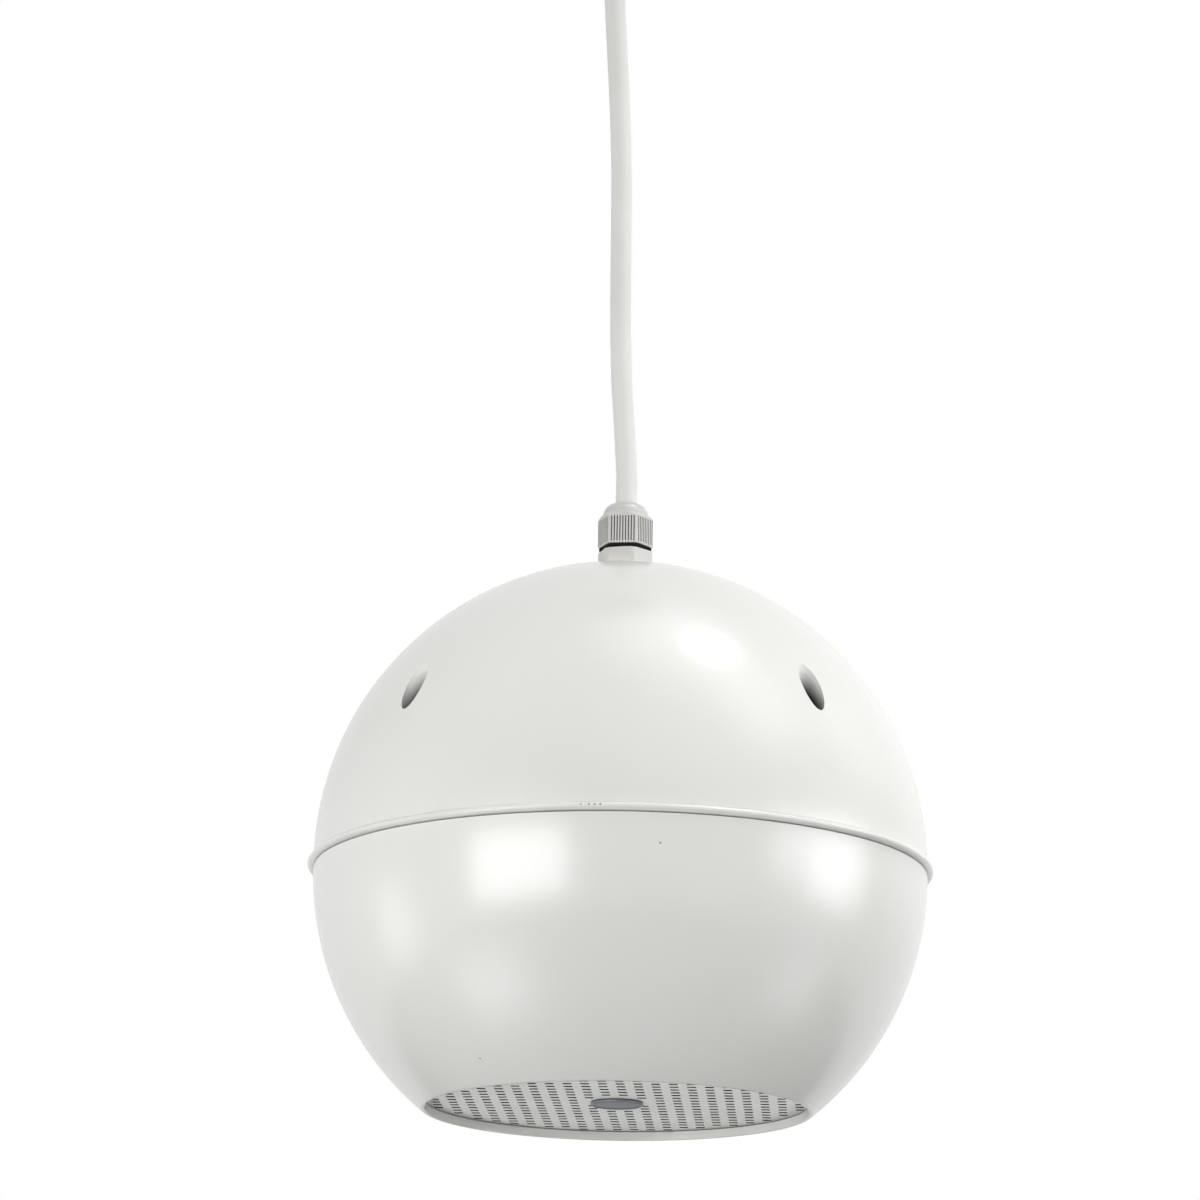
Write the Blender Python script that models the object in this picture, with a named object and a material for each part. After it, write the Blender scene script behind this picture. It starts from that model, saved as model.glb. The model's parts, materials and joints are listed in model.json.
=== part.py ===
"""Pendant ball speaker: a white two-part ball that hangs on its own cord from a ceiling cup.

Run with: blender --background --python part.py
Units are metres, +Z is up, and the origin is the middle of the ceiling bracket's top face.
The ball's own pieces are placed from the middle of its seam, and the driver's from its front flange.
"""
from math import acos, asin, cos, hypot, pi, radians, sin, sqrt

import bmesh
import bpy
from mathutils import Matrix, Vector

MM = 0.001
FIT = 0.3 * MM                # gap kept between pieces that touch
CUT = 1.0 * MM                # how far a cutter runs past the face it opens
HOLE_SIDES = 8                # facets round a small hole or a small screw

# The ball
BALL_R = 92.0 * MM
WALL = 2.5 * MM
BAND_HALF = 1.3 * MM          # half of the straight band between the two half balls
BALL_STEPS = 32
BALL_ARC = 8                  # facets down each outer half
INNER_ARC = 4
PAD_R = 11.0 * MM             # flat pad under the gland
BEAD_DROP = 0.3 * MM          # top of the straight band to the bead
BEAD_PROUD = 1.7 * MM
BEAD_HEIGHT = 2.3 * MM
TONGUE_DEPTH = 3.7 * MM
TONGUE_WIDE = 2.7 * MM
RIM_CUT = 20.6 * MM           # height cut off the ball's bottom for the opening
RIM_ROUND = 0.5 * MM
RIM_WIDE = 1.02 * MM          # opening to the ball's outside at the rim
LIP_THICK = 2.6 * MM          # the lip that carries the grille

# Housing screws in their wells
WELL_INSET = 10.5 * MM        # wells' middles in from the ball's outside
WELL_R = 4.7 * MM
WELL_WALL = 1.5 * MM
WELL_FLOOR = 2.5 * MM
WELL_COUNT = 4
WELL_SIDES = 12
PILLAR_R = 4.4 * MM
SCREW_R = 1.5 * MM
SCREW_HEAD_R = 3.5 * MM
SCREW_HEAD_H = 2.4 * MM
SCREW_LONG = 17.0 * MM
PILOT_SPARE = 2.0 * MM        # pilot hole beyond the screw's end

# Grille
GRILLE_OVER = 1.3 * MM        # grille's edge over the opening's
GRILLE_THICK = 1.2 * MM
HOLE_SIDE = 2.6 * MM
HOLE_PITCH = 5.15 * MM
HOLE_EDGE = 0.7 * MM          # plain metal kept outside the last hole
BADGE_R = 8.4 * MM
BADGE_THICK = 1.0 * MM
BADGE_BEVEL = 0.6 * MM
BADGE_FOOT = 2.0 * MM         # width of the badge's edge that may lie over cut holes
CLOTH_THICK = 0.4 * MM

# Driver
DRIVER_RISE = 10.4 * MM       # bottom rim to the driver's front flange
FLANGE_CLEAR = 0.9 * MM       # flange to the ball's inside
FLANGE_THICK = 1.2 * MM
FLANGE_HOLE_IN = 0.5 * MM     # flange's hole in from the gasket's
BASKET_SKIN = 1.2 * MM
BASKET_WALL_H = 6.3 * MM
BASKET_TAPER = 0.4 * MM       # draw taper over that height
BASKET_HOLE_BACK = 1.7 * MM   # basket's back hole, back from the top plate's
WINDOW_MARGIN = 1.3 * MM
SPIDER_SEAT_R = 30.0 * MM
SPIDER_SEAT_H = 21.3 * MM
SPIDER_STEP = 3.3 * MM        # width of the basket's step over the spider
BASKET_DEPTH = 30.5 * MM
BASKET_WINDOWS = 4
WINDOW_HALF_WIDE = 13.0 * MM
DRIVER_STEPS = 16
DRIVER_BOSS_CLEAR = 0.1 * MM  # driver bosses to the grille's edge
DRIVER_SCREW_R = 1.4 * MM
DRIVER_SCREW_LONG = 5.7 * MM
DRIVER_BOSS_R = 2.6 * MM
GASKET_WIDE = 4.5 * MM
POLE_R = 12.0 * MM
COIL_GAP = 0.4 * MM           # air each side of the coil former
FORMER_SKIN = 0.3 * MM
WINDING_SKIN = 0.4 * MM
WINDING_LONG = 7.0 * MM
FORMER_REACH = 1.7 * MM       # former's end in front of the cone's neck
PLATE_R = 27.5 * MM
PLATE_THICK = 4.0 * MM
MAGNET_R = 32.0 * MM
MAGNET_HOLE_R = 16.0 * MM
MAGNET_THICK = 10.0 * MM
YOKE_R = 30.0 * MM
YOKE_THICK = 4.0 * MM
YOKE_BEVEL = 0.8 * MM
CONE_CLEAR = 4.5 * MM         # cone's edge to the flange's hole
CONE_LIP = 3.0 * MM
CONE_LIP_H = 0.9 * MM
CONE_DEPTH = 15.6 * MM
CONE_SKIN = 0.6 * MM
CAP_R = 16.0 * MM
CAP_BULGE = 4.9 * MM
CAP_SKIN = 0.5 * MM
EDGE_SKIN = 0.5 * MM          # surround and spider cloth
EDGE_LIP = 3.2 * MM
EDGE_INSET = 1.0 * MM         # surround's edge in from the gasket's
WAVE_HALF = 0.6 * MM
SPIDER_RISE = 2.2 * MM        # spider's inner lip over its outer lip

# Cord and gland
CORD_R = 3.25 * MM
CORE_APART = 1.4 * MM         # each core from the cord's middle, where the sheath ends
GLAND_FLATS = 15.0 * MM
GLAND_CORNER_R = 8.4 * MM
GLAND_THREAD_R = 6.2 * MM
GLAND_GASKET_SET = 0.4 * MM   # gasket's edge in from the hexagon's flats
GLAND_GASKET_THICK = 0.9 * MM
GLAND_HEX_H = 5.0 * MM
GLAND_GAP = 2.0 * MM          # shows between the body's hexagon and the nut
GLAND_NUT_H = 8.0 * MM        # nut's lower edge to its chamfered shoulder
GLAND_CHAMFER_H = 1.5 * MM
GLAND_CHAMFER_IN = 1.5 * MM
GLAND_DOME_H = 3.3 * MM
GLAND_MOUTH_FLAT = 0.9 * MM
GLAND_TAIL = 9.0 * MM
GLAND_TURN = radians(-10.0)   # the body's hexagon
NUT_TURN = radians(-3.4)
GLAND_SIDES = 16
GLAND_BEVEL = 0.4 * MM
GLAND_NECK_SHORT = 1.0 * MM   # neck's end to the nut's shoulder
SEAL_RISE = 0.5 * MM          # nut's lower face to the seal's seat
MOUTH_FUNNEL = 2.2 * MM
GLAND_RIBS = 9                # grooves on each flat of the nut
RIB_GROOVE = 0.4 * MM
RIB_SPAN = 0.9                # part of a flat's width that is ribbed
RIB_END = 0.2 * MM            # grooves' top to the nut's shoulder
RING_OVER_NECK = 1.1 * MM     # black ring in the gap, past the neck
SEAL_WALL = 1.4 * MM
LOCKNUT_H = 4.5 * MM
LOCKNUT_FLATS = 17.0 * MM

# Transformer, hung under two posts in the upper half
POST_HALF = 25.0 * MM
POST_R = 4.0 * MM
POST_DROP = 29.8 * MM         # posts' lower ends under the ball's inner top
CORE_WIDE = 41.0 * MM
CORE_HIGH = 34.0 * MM
CORE_DEEP = 14.0 * MM
CORE_LEG = 13.6 * MM
CORE_WINDOW_W = 6.9 * MM
CORE_WINDOW_H = 20.6 * MM
STRAP = 1.2 * MM
STRAP_FOOT = 8.5 * MM
BOBBIN_WALL = 0.9 * MM
WINDING_DEEP = 5.0 * MM
SHELF_DEEP = 6.0 * MM
BLOCK_WIDE = 18.0 * MM
BLOCK_DEEP = 9.0 * MM
BLOCK_HIGH = 10.0 * MM
WIRE_R = 0.8 * MM
WIRE_ENTRY = 5.0 * MM
WIRE_RISE = 8.0 * MM          # upright end of a wire over its terminal
POST_SCREW_LONG = 8.0 * MM
SMALL_HEAD_R = 2.8 * MM       # screws inside the ball and at the cup
SMALL_HEAD_H = 2.0 * MM
TAG_HIGH = 13.0 * MM
TAG_APART = 7.2 * MM
TAG_WIDE = 2.4 * MM
TAG_THICK = 0.6 * MM
TAG_BOARD_HIGH = 9.0 * MM
TAG_BOARD_THICK = 1.6 * MM

# Ceiling cup and what hangs the cord in it
CORD_DROP = 225.0 * MM        # gland mouth to the cord grip
CUP_R = 45.0 * MM
CUP_DEPTH = 48.0 * MM
CUP_WALL = 2.0 * MM
CUP_SHOULDER = 22.0 * MM      # radius of the cup's rounded shoulder
CUP_RIM_GAP = 0.4 * MM
CUP_STEPS = 20
BRACKET_HALF = 41.2 * MM
BRACKET_WIDE = 16.0 * MM
BRACKET_THICK = 1.5 * MM
BRACKET_LEG = 14.0 * MM
BRACKET_SLOTS = ((-26.0 * MM, -14.0 * MM), (30.0 * MM, 35.0 * MM))
BRACKET_SLOT_HALF = 2.2 * MM
CUP_SCREW_DROP = 8.0 * MM
CUP_SCREW_LONG = 7.0 * MM
GRIP_R = 7.5 * MM
GRIP_H = 8.0 * MM
GRIP_STEM_R = 5.0 * MM
GRIP_STEM_H = 10.0 * MM
GRIP_NUT_H = 4.0 * MM
GRIP_NUT_R = 8.0 * MM
GRIP_SCREW_R = 2.0 * MM
GRIP_SCREW_PROUD = 2.0 * MM
GRIP_BEVEL = 1.0 * MM
ROSE_BLOCK_WIDE = 20.0 * MM
ROSE_BLOCK_DEEP = 10.0 * MM
ROSE_BLOCK_HIGH = 11.0 * MM
ROSE_BLOCK_X = 16.0 * MM

# Heights that follow from the sizes above, over the seam's middle
PAD_Z = BAND_HALF + sqrt(BALL_R ** 2 - PAD_R ** 2)
PAD_INNER_Z = BAND_HALF + sqrt((BALL_R - WALL) ** 2 - PAD_R ** 2)
BEAD_LOW_Z = BAND_HALF - BEAD_DROP - BEAD_HEIGHT
HEX_LOW_Z = PAD_Z + FIT + GLAND_GASKET_THICK + FIT
HEX_TOP_Z = HEX_LOW_Z + GLAND_HEX_H
NUT_LOW_Z = HEX_TOP_Z + GLAND_GAP
SHOULDER_Z = NUT_LOW_Z + GLAND_NUT_H
MOUTH_Z = SHOULDER_Z + GLAND_CHAMFER_H + GLAND_DOME_H
GRIP_LOW_Z = -CUP_DEPTH - FIT - GRIP_H
SEAM_Z = GRIP_LOW_Z - CORD_DROP - MOUTH_Z
RIM_DROP = BAND_HALF + BALL_R - RIM_CUT
RIM_R = sqrt(BALL_R ** 2 - (RIM_DROP - BAND_HALF) ** 2)
OPENING_R = RIM_R - RIM_WIDE
GRILLE_R = OPENING_R + GRILLE_OVER
WELL_RING = BALL_R - WELL_INSET
POST_END = PAD_INNER_Z - POST_DROP
LIP_TOP_Z = -RIM_DROP + LIP_THICK
GRILLE_LOW_Z = LIP_TOP_Z + FIT
CLOTH_LOW_Z = GRILLE_LOW_Z + GRILLE_THICK + FIT
FLANGE_Z = -RIM_DROP + DRIVER_RISE
FLANGE_R = sqrt((BALL_R - WALL) ** 2 - (FLANGE_Z + BAND_HALF) ** 2) - FLANGE_CLEAR
GASKET_OUTER_R = OPENING_R
GASKET_INNER_R = GASKET_OUTER_R - GASKET_WIDE
FLANGE_HOLE_R = GASKET_INNER_R - FLANGE_HOLE_IN
CONE_R = FLANGE_HOLE_R - CONE_CLEAR
DRIVER_SCREW_RING = GRILLE_R + DRIVER_BOSS_CLEAR + DRIVER_BOSS_R
NECK_R = SPIDER_SEAT_R - SPIDER_STEP
GAP_R = POLE_R + 2 * COIL_GAP + FORMER_SKIN + WINDING_SKIN
LOWER_TOP_Z = BEAD_LOW_Z - FIT
FOOT_TOP_Z = POST_END - FIT
CORE_TOP_Z = FOOT_TOP_Z - FIT
CORE_MIDDLE_Z = CORE_TOP_Z - CORE_HIGH / 2
BOBBIN_REACH = CORE_DEEP / 2 + FIT + BOBBIN_WALL + WINDING_DEEP + BOBBIN_WALL
BOBBIN_TOP_Z = CORE_MIDDLE_Z + CORE_WINDOW_H / 2 - FIT
BOBBIN_LOW_Z = CORE_MIDDLE_Z - CORE_WINDOW_H / 2 + FIT
BLOCK_Y = -BOBBIN_REACH - SHELF_DEEP + BLOCK_DEEP / 2
BLOCK_LOW_Z = BOBBIN_TOP_Z + FIT
TAG_RING = (FLANGE_HOLE_R + FLANGE_R) / 2
TAG_ANGLE = radians(60)

# The cord's route: (across the view, height over the gland's mouth), then turned to the view's side
VIEW_TURN = radians(3.0)
CORD_ROUTE = [
    (0.0, -0.0279), (0.0, -0.0209), (0.0, -0.0129), (0.0, -0.0054), (0.0001, 0.0021),
    (0.0001, 0.0101), (-0.0004, 0.0191), (-0.0010, 0.0281), (-0.0017, 0.0376), (-0.0021, 0.0471),
    (-0.0024, 0.0561), (-0.0026, 0.0701), (-0.0027, 0.0881), (-0.0029, 0.1081), (-0.0036, 0.1271),
    (-0.0047, 0.1461), (-0.0058, 0.1651), (-0.0061, 0.1806), (-0.0048, 0.1951), (-0.0025, 0.2071),
    (-0.0008, 0.2171), (0.0, 0.2261), (0.0, 0.2361), (0.0, 0.2471),
]

LOOKS = {}


def clear_scene():
    for old in list(bpy.data.objects):
        bpy.data.objects.remove(old, do_unlink=True)


def look(name, colour, roughness, metallic=0.0):
    """A Principled material, made once for each name."""
    if name not in LOOKS:
        made = bpy.data.materials.new(name)
        made.use_nodes = True
        shader = made.node_tree.nodes["Principled BSDF"]
        shader.inputs["Base Color"].default_value = (*colour, 1.0)
        shader.inputs["Roughness"].default_value = roughness
        shader.inputs["Metallic"].default_value = metallic
        LOOKS[name] = made
    return LOOKS[name]


def white_shell():
    return look("ball_white", (0.80, 0.80, 0.77), 0.22)


def grille_white():
    return look("grille_white", (0.74, 0.74, 0.72), 0.45)


def steel():
    return look("zinc_steel", (0.55, 0.55, 0.56), 0.35, 1.0)


def black_plastic():
    return look("black_plastic", (0.03, 0.03, 0.03), 0.5)


def anchor(name, z, parent=None):
    """An empty that a group of pieces is placed from."""
    empty = bpy.data.objects.new(name, None)
    bpy.context.collection.objects.link(empty)
    empty.location.z = z
    empty.parent = parent
    return empty


def place(name, mesh, material, parent=None, at=(0, 0, 0), turn=(0, 0, 0)):
    """Puts a mesh in the scene as a smooth-shaded object with sharp corners kept."""
    mesh.materials.clear()
    mesh.materials.append(material)
    mesh.shade_smooth()
    mesh.set_sharp_from_angle(angle=radians(32))
    piece = bpy.data.objects.new(name, mesh)
    bpy.context.collection.objects.link(piece)
    piece.location = at
    piece.rotation_euler = turn
    piece.parent = parent
    return piece


def to_mesh(name, bm):
    bmesh.ops.remove_doubles(bm, verts=bm.verts, dist=1e-6)
    bmesh.ops.recalc_face_normals(bm, faces=bm.faces)
    mesh = bpy.data.meshes.new(name)
    bm.to_mesh(mesh)
    bm.free()
    return mesh


def turned(name, outline, steps, closed=True, phase=0.0):
    """Spins an (r, z) outline about Z. An outline that starts and ends on the axis is not closed."""
    bm = bmesh.new()
    verts = [bm.verts.new((r, 0, z)) for r, z in outline]
    ends = verts[1:] + verts[:1] if closed else verts[1:]
    edges = [bm.edges.new(pair) for pair in zip(verts, ends)]
    bmesh.ops.rotate(bm, verts=bm.verts, matrix=Matrix.Rotation(phase, 3, "Z"))
    bmesh.ops.spin(bm, geom=verts + edges, cent=(0, 0, 0), axis=(0, 0, 1), angle=2 * pi, steps=steps,
                   use_merge=True, use_duplicate=False)
    return to_mesh(name, bm)


def tube_outline(inner, outer, low, high):
    return [(inner, low), (outer, low), (outer, high), (inner, high)]


def rod_outline(radius, low, high):
    return [(0, low), (radius, low), (radius, high), (0, high)]


def ring_mesh(name, inner, outer, low, high, steps):
    return turned(name, tube_outline(inner, outer, low, high), steps)


def rod_mesh(name, radius, low, high, steps=12, phase=0.0):
    return turned(name, rod_outline(radius, low, high), steps, closed=False, phase=phase)


def box_mesh(name, low, high):
    bm = bmesh.new()
    bmesh.ops.create_cube(bm, size=1.0)
    size = Vector(high) - Vector(low)
    middle = (Vector(high) + Vector(low)) / 2
    bmesh.ops.scale(bm, vec=size, verts=bm.verts)
    bmesh.ops.translate(bm, vec=middle, verts=bm.verts)
    return to_mesh(name, bm)


def joined(name, meshes_at):
    """One mesh out of several (mesh, matrix) pairs that don't touch, for use as a cutter."""
    bm = bmesh.new()
    for mesh, matrix in meshes_at:
        first = len(bm.verts)
        bm.from_mesh(mesh)
        bm.verts.ensure_lookup_table()
        bmesh.ops.transform(bm, matrix=matrix, verts=bm.verts[first:])
    mesh = bpy.data.meshes.new(name)
    bm.to_mesh(mesh)
    bm.free()
    return mesh


def combine(mesh, tool, operation):
    """The mesh after a Boolean with the tool mesh."""
    base = bpy.data.objects.new("base", mesh)
    other = bpy.data.objects.new("tool", tool)
    for each in (base, other):
        bpy.context.collection.objects.link(each)
    step = base.modifiers.new("combine", "BOOLEAN")
    step.operation = operation
    step.solver = "EXACT"
    step.object = other
    bpy.context.view_layer.update()
    result = bpy.data.meshes.new_from_object(base.evaluated_get(bpy.context.evaluated_depsgraph_get()))
    result.name = mesh.name
    for each in (base, other):
        bpy.data.objects.remove(each, do_unlink=True)
    return result


def ring_places(count, radius, first_angle):
    """Points evenly round the axis."""
    angles = [first_angle + 2 * pi * index / count for index in range(count)]
    return [(radius * cos(angle), radius * sin(angle), angle) for angle in angles]


def at_places(mesh, places):
    moves = [Matrix.Translation((x, y, 0)) @ Matrix.Rotation(angle, 4, "Z") for x, y, angle in places]
    return [(mesh, move) for move in moves]


def ball_arc(radius, centre_z, start, end, count):
    """Points on a half ball's outline, by angle from the top of the axis."""
    angles = [start + (end - start) * index / count for index in range(count + 1)]
    return [(radius * sin(angle), centre_z + radius * cos(angle)) for angle in angles]


def half_ball_clip(centre_z):
    """A ball that ends inside the wall, so that bosses grow out of the shell."""
    radius = BALL_R - WALL / 4
    return turned("clip", ball_arc(radius, centre_z, 0, pi, 2 * BALL_ARC), BALL_STEPS, closed=False)


def bosses(centre_z, radius, steps, places, low, high):
    """Round bosses between two heights that run into the shell's wall."""
    rods = joined("bosses", at_places(rod_mesh("boss", radius, low, high, steps), places))
    return combine(rods, half_ball_clip(centre_z), "INTERSECT")


def well_places():
    return ring_places(WELL_COUNT, WELL_RING, pi / WELL_COUNT)


def post_places():
    return [(-POST_HALF, 0, 0), (POST_HALF, 0, 0)]


def driver_screw_places():
    return ring_places(4, DRIVER_SCREW_RING, 0)


def bead_outline():
    """The half-round bead at the seam, from its top to its underside."""
    middle = BEAD_LOW_Z + BEAD_HEIGHT / 2
    angles = [pi / 2 - pi * index / 4 for index in range(5)]
    return [(BALL_R + BEAD_PROUD * cos(angle), middle + BEAD_HEIGHT / 2 * sin(angle)) for angle in angles]


def upper_shell():
    """Half ball with the gland's hole, the bead, the tongue, four screw wells and two posts."""
    hole = GLAND_THREAD_R + FIT
    inner = BALL_R - WALL
    tongue = inner - FIT
    tongue_inner = tongue - TONGUE_WIDE
    taper_z = BAND_HALF + 3 * WALL
    inner_end = acos((taper_z - BAND_HALF) / inner)
    outline = [(hole, PAD_Z)]
    outline += ball_arc(BALL_R, BAND_HALF, asin(PAD_R / BALL_R), pi / 2, BALL_ARC)
    outline += bead_outline()
    outline += [(tongue, BEAD_LOW_Z), (tongue, BEAD_LOW_Z - TONGUE_DEPTH)]
    outline += [(tongue_inner, BEAD_LOW_Z - TONGUE_DEPTH), (tongue_inner, BAND_HALF)]
    outline += ball_arc(inner, BAND_HALF, inner_end, asin(PAD_R / inner), INNER_ARC)
    outline += [(hole, PAD_INNER_Z)]
    mesh = turned("upper_shell", outline, BALL_STEPS)
    top = BAND_HALF + BALL_R + CUT
    tubes = bosses(BAND_HALF, WELL_R + WELL_WALL, WELL_SIDES, well_places(), BEAD_LOW_Z, top)
    mesh = combine(mesh, tubes, "UNION")
    mesh = combine(mesh, bosses(BAND_HALF, POST_R, HOLE_SIDES, post_places(), POST_END, top), "UNION")
    floor_z = BEAD_LOW_Z + WELL_FLOOR
    bores = at_places(rod_mesh("bore", WELL_R, floor_z, top, WELL_SIDES), well_places())
    mesh = combine(mesh, joined("bores", bores), "DIFFERENCE")
    hole = rod_mesh("hole", SCREW_R + FIT, BEAD_LOW_Z - CUT, floor_z + CUT, HOLE_SIDES)
    mesh = combine(mesh, joined("holes", at_places(hole, well_places())), "DIFFERENCE")
    pilot = rod_mesh("pilot", SCREW_R + FIT, POST_END - CUT, POST_END + POST_SCREW_LONG, HOLE_SIDES)
    pilots = at_places(pilot, post_places())
    mesh = combine(mesh, joined("pilots", pilots), "DIFFERENCE")
    return place("upper_shell", mesh, white_shell(), BALL)


def lower_shell():
    """Half ball with the grille's opening and lip, four long pillars and four driver bosses."""
    inner = BALL_R - WALL
    pocket = GRILLE_R + 3 * FIT
    rim_start = -RIM_DROP + RIM_ROUND + BAND_HALF
    start = acos((LOWER_TOP_Z + BAND_HALF) / BALL_R)
    socket_z = BEAD_LOW_Z - TONGUE_DEPTH - FIT
    inner_start = acos((socket_z + BAND_HALF) / inner)
    outline = ball_arc(BALL_R, -BAND_HALF, start, acos(rim_start / BALL_R), BALL_ARC - 2)
    outline += [(RIM_R, -RIM_DROP), (OPENING_R + RIM_ROUND, -RIM_DROP)]
    outline += [(OPENING_R, -RIM_DROP + RIM_ROUND), (OPENING_R, LIP_TOP_Z), (pocket, LIP_TOP_Z)]
    outline += ball_arc(inner, -BAND_HALF, pi - asin(pocket / inner), inner_start, INNER_ARC)
    outline += [(inner, socket_z), (inner, LOWER_TOP_Z)]
    mesh = turned("lower_shell", outline, BALL_STEPS)
    low = -BAND_HALF - BALL_R
    mesh = combine(mesh, bosses(-BAND_HALF, PILLAR_R, HOLE_SIDES, well_places(), low, LOWER_TOP_Z), "UNION")
    boss_top = FLANGE_Z - FIT
    boss_mesh = bosses(-BAND_HALF, DRIVER_BOSS_R, HOLE_SIDES, driver_screw_places(), low, boss_top)
    mesh = combine(mesh, boss_mesh, "UNION")
    floor_z = BEAD_LOW_Z + WELL_FLOOR
    pilot_end = floor_z - SCREW_LONG - PILOT_SPARE
    pilots = at_places(rod_mesh("pilot", SCREW_R + FIT, pilot_end, CUT, HOLE_SIDES), well_places())
    mesh = combine(mesh, joined("pilots", pilots), "DIFFERENCE")
    driver_pilot_end = FLANGE_Z + FLANGE_THICK + FIT - DRIVER_SCREW_LONG - 2 * FIT
    driver_pilot = rod_mesh("pilot", DRIVER_SCREW_R + FIT, driver_pilot_end, boss_top + CUT, HOLE_SIDES)
    mesh = combine(mesh, joined("pilots", at_places(driver_pilot, driver_screw_places())), "DIFFERENCE")
    return place("lower_shell", mesh, white_shell(), BALL)


def screw_mesh(name, head_r, head_h, shank_r, length, steps, slotted=True):
    """A pan head screw: its head's underside is at zero and its shank runs down."""
    outline = [(0, -length), (shank_r * 0.6, -length), (shank_r, -length + shank_r), (shank_r, 0)]
    outline += [(head_r, 0), (head_r, head_h * 0.55), (head_r * 0.65, head_h), (0, head_h)]
    mesh = turned(name, outline, steps, closed=False)
    if not slotted:
        return mesh
    half = head_r * 0.12
    reach = head_r * 0.55
    for turn in (0, pi / 2):
        slot = box_mesh("slot", (-reach, -half, head_h * 0.45), (reach, half, head_h + CUT))
        slot.transform(Matrix.Rotation(turn, 4, "Z"))
        mesh = combine(mesh, slot, "DIFFERENCE")
    return mesh


def housing_screws():
    mesh = screw_mesh("housing_screw", SCREW_HEAD_R, SCREW_HEAD_H, SCREW_R, SCREW_LONG, HOLE_SIDES)
    seat = BEAD_LOW_Z + WELL_FLOOR + FIT
    for index, (x, y, angle) in enumerate(well_places(), 1):
        place(f"housing_screw_{index}", mesh, steel(), BALL, (x, y, seat), (0, 0, angle))


def hole_centres():
    """Centres of the grille's square holes: whole ones only, and none under the badge."""
    corner = HOLE_SIDE / sqrt(2)
    reach = GRILLE_R - HOLE_EDGE
    count = int(reach / HOLE_PITCH) + 1
    lines = [(index + 0.5) * HOLE_PITCH for index in range(-count, count)]
    for x in lines:
        for y in lines:
            outer = hypot(abs(x) + HOLE_SIDE / 2, abs(y) + HOLE_SIDE / 2)
            if outer < reach and hypot(x, y) - corner > BADGE_R - BADGE_FOOT:
                yield x, y


def grille():
    """Flat disc of punched sheet: a square grid of square holes, cut in one Boolean."""
    low, high = GRILLE_LOW_Z, GRILLE_LOW_Z + GRILLE_THICK
    disc = rod_mesh("grille", GRILLE_R, low, high, BALL_STEPS)
    half = HOLE_SIDE / 2
    punch = box_mesh("punch", (-half, -half, low - CUT), (half, half, high + CUT))
    punches = joined("punches", [(punch, Matrix.Translation((x, y, 0))) for x, y in hole_centres()])
    place("grille", combine(disc, punches, "DIFFERENCE"), grille_white(), BALL)


def grille_badge():
    """The blank round boss in the middle of the grille."""
    top = GRILLE_LOW_Z - FIT
    outline = [(0, top - BADGE_THICK), (BADGE_R - BADGE_BEVEL, top - BADGE_THICK)]
    outline += [(BADGE_R, top - BADGE_THICK + BADGE_BEVEL), (BADGE_R, top), (0, top)]
    mesh = turned("grille_badge", outline, DRIVER_STEPS, closed=False)
    place("grille_badge", mesh, look("badge_grey", (0.35, 0.36, 0.39), 0.35, 0.6), BALL)


def grille_cloth():
    top = CLOTH_LOW_Z + CLOTH_THICK
    mesh = rod_mesh("grille_cloth", GRILLE_R - 2 * FIT, CLOTH_LOW_Z, top, BALL_STEPS)
    place("grille_cloth", mesh, look("black_cloth", (0.02, 0.02, 0.02), 0.95), BALL)


def driver_gasket():
    low = CLOTH_LOW_Z + CLOTH_THICK + FIT - FLANGE_Z
    high = -FIT - EDGE_SKIN - FIT
    mesh = ring_mesh("driver_gasket", GASKET_INNER_R, GASKET_OUTER_R, low, high, DRIVER_STEPS)
    place("driver_gasket", mesh, look("foam_grey", (0.08, 0.08, 0.08), 0.9), DRIVER)


def basket():
    """Pressed steel frame: front flange, open cone wall with windows, spider step and magnet seat."""
    skin = BASKET_SKIN
    wall_r = FLANGE_HOLE_R + skin
    back_hole = GAP_R + BASKET_HOLE_BACK
    outline = [(FLANGE_HOLE_R, 0), (FLANGE_R, 0), (FLANGE_R, FLANGE_THICK), (wall_r, FLANGE_THICK)]
    outline += [(wall_r - BASKET_TAPER, BASKET_WALL_H), (SPIDER_SEAT_R, SPIDER_SEAT_H)]
    outline += [(NECK_R, SPIDER_SEAT_H), (NECK_R, BASKET_DEPTH)]
    outline += [(back_hole, BASKET_DEPTH), (back_hole, BASKET_DEPTH - skin)]
    outline += [(NECK_R - skin, BASKET_DEPTH - skin), (NECK_R - skin, SPIDER_SEAT_H - skin)]
    outline += [(SPIDER_SEAT_R - skin / 4, SPIDER_SEAT_H - skin)]
    outline += [(FLANGE_HOLE_R - BASKET_TAPER, BASKET_WALL_H - skin / 2)]
    mesh = turned("basket", outline, DRIVER_STEPS)
    low, high = BASKET_WALL_H + WINDOW_MARGIN, SPIDER_SEAT_H - skin - WINDOW_MARGIN
    window = box_mesh("window", (SPIDER_SEAT_R, -WINDOW_HALF_WIDE, low), (FLANGE_R, WINDOW_HALF_WIDE, high))
    angles = [2 * pi * (index + 0.5) / BASKET_WINDOWS for index in range(BASKET_WINDOWS)]
    turns = [Matrix.Rotation(angle, 4, "Z") for angle in angles]
    mesh = combine(mesh, joined("windows", [(window, turn) for turn in turns]), "DIFFERENCE")
    hole = rod_mesh("hole", DRIVER_SCREW_R + FIT, -CUT, FLANGE_THICK + CUT, HOLE_SIDES)
    mesh = combine(mesh, joined("holes", at_places(hole, driver_screw_places())), "DIFFERENCE")
    place("basket", mesh, look("basket_steel", (0.30, 0.30, 0.31), 0.4, 1.0), DRIVER)


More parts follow.
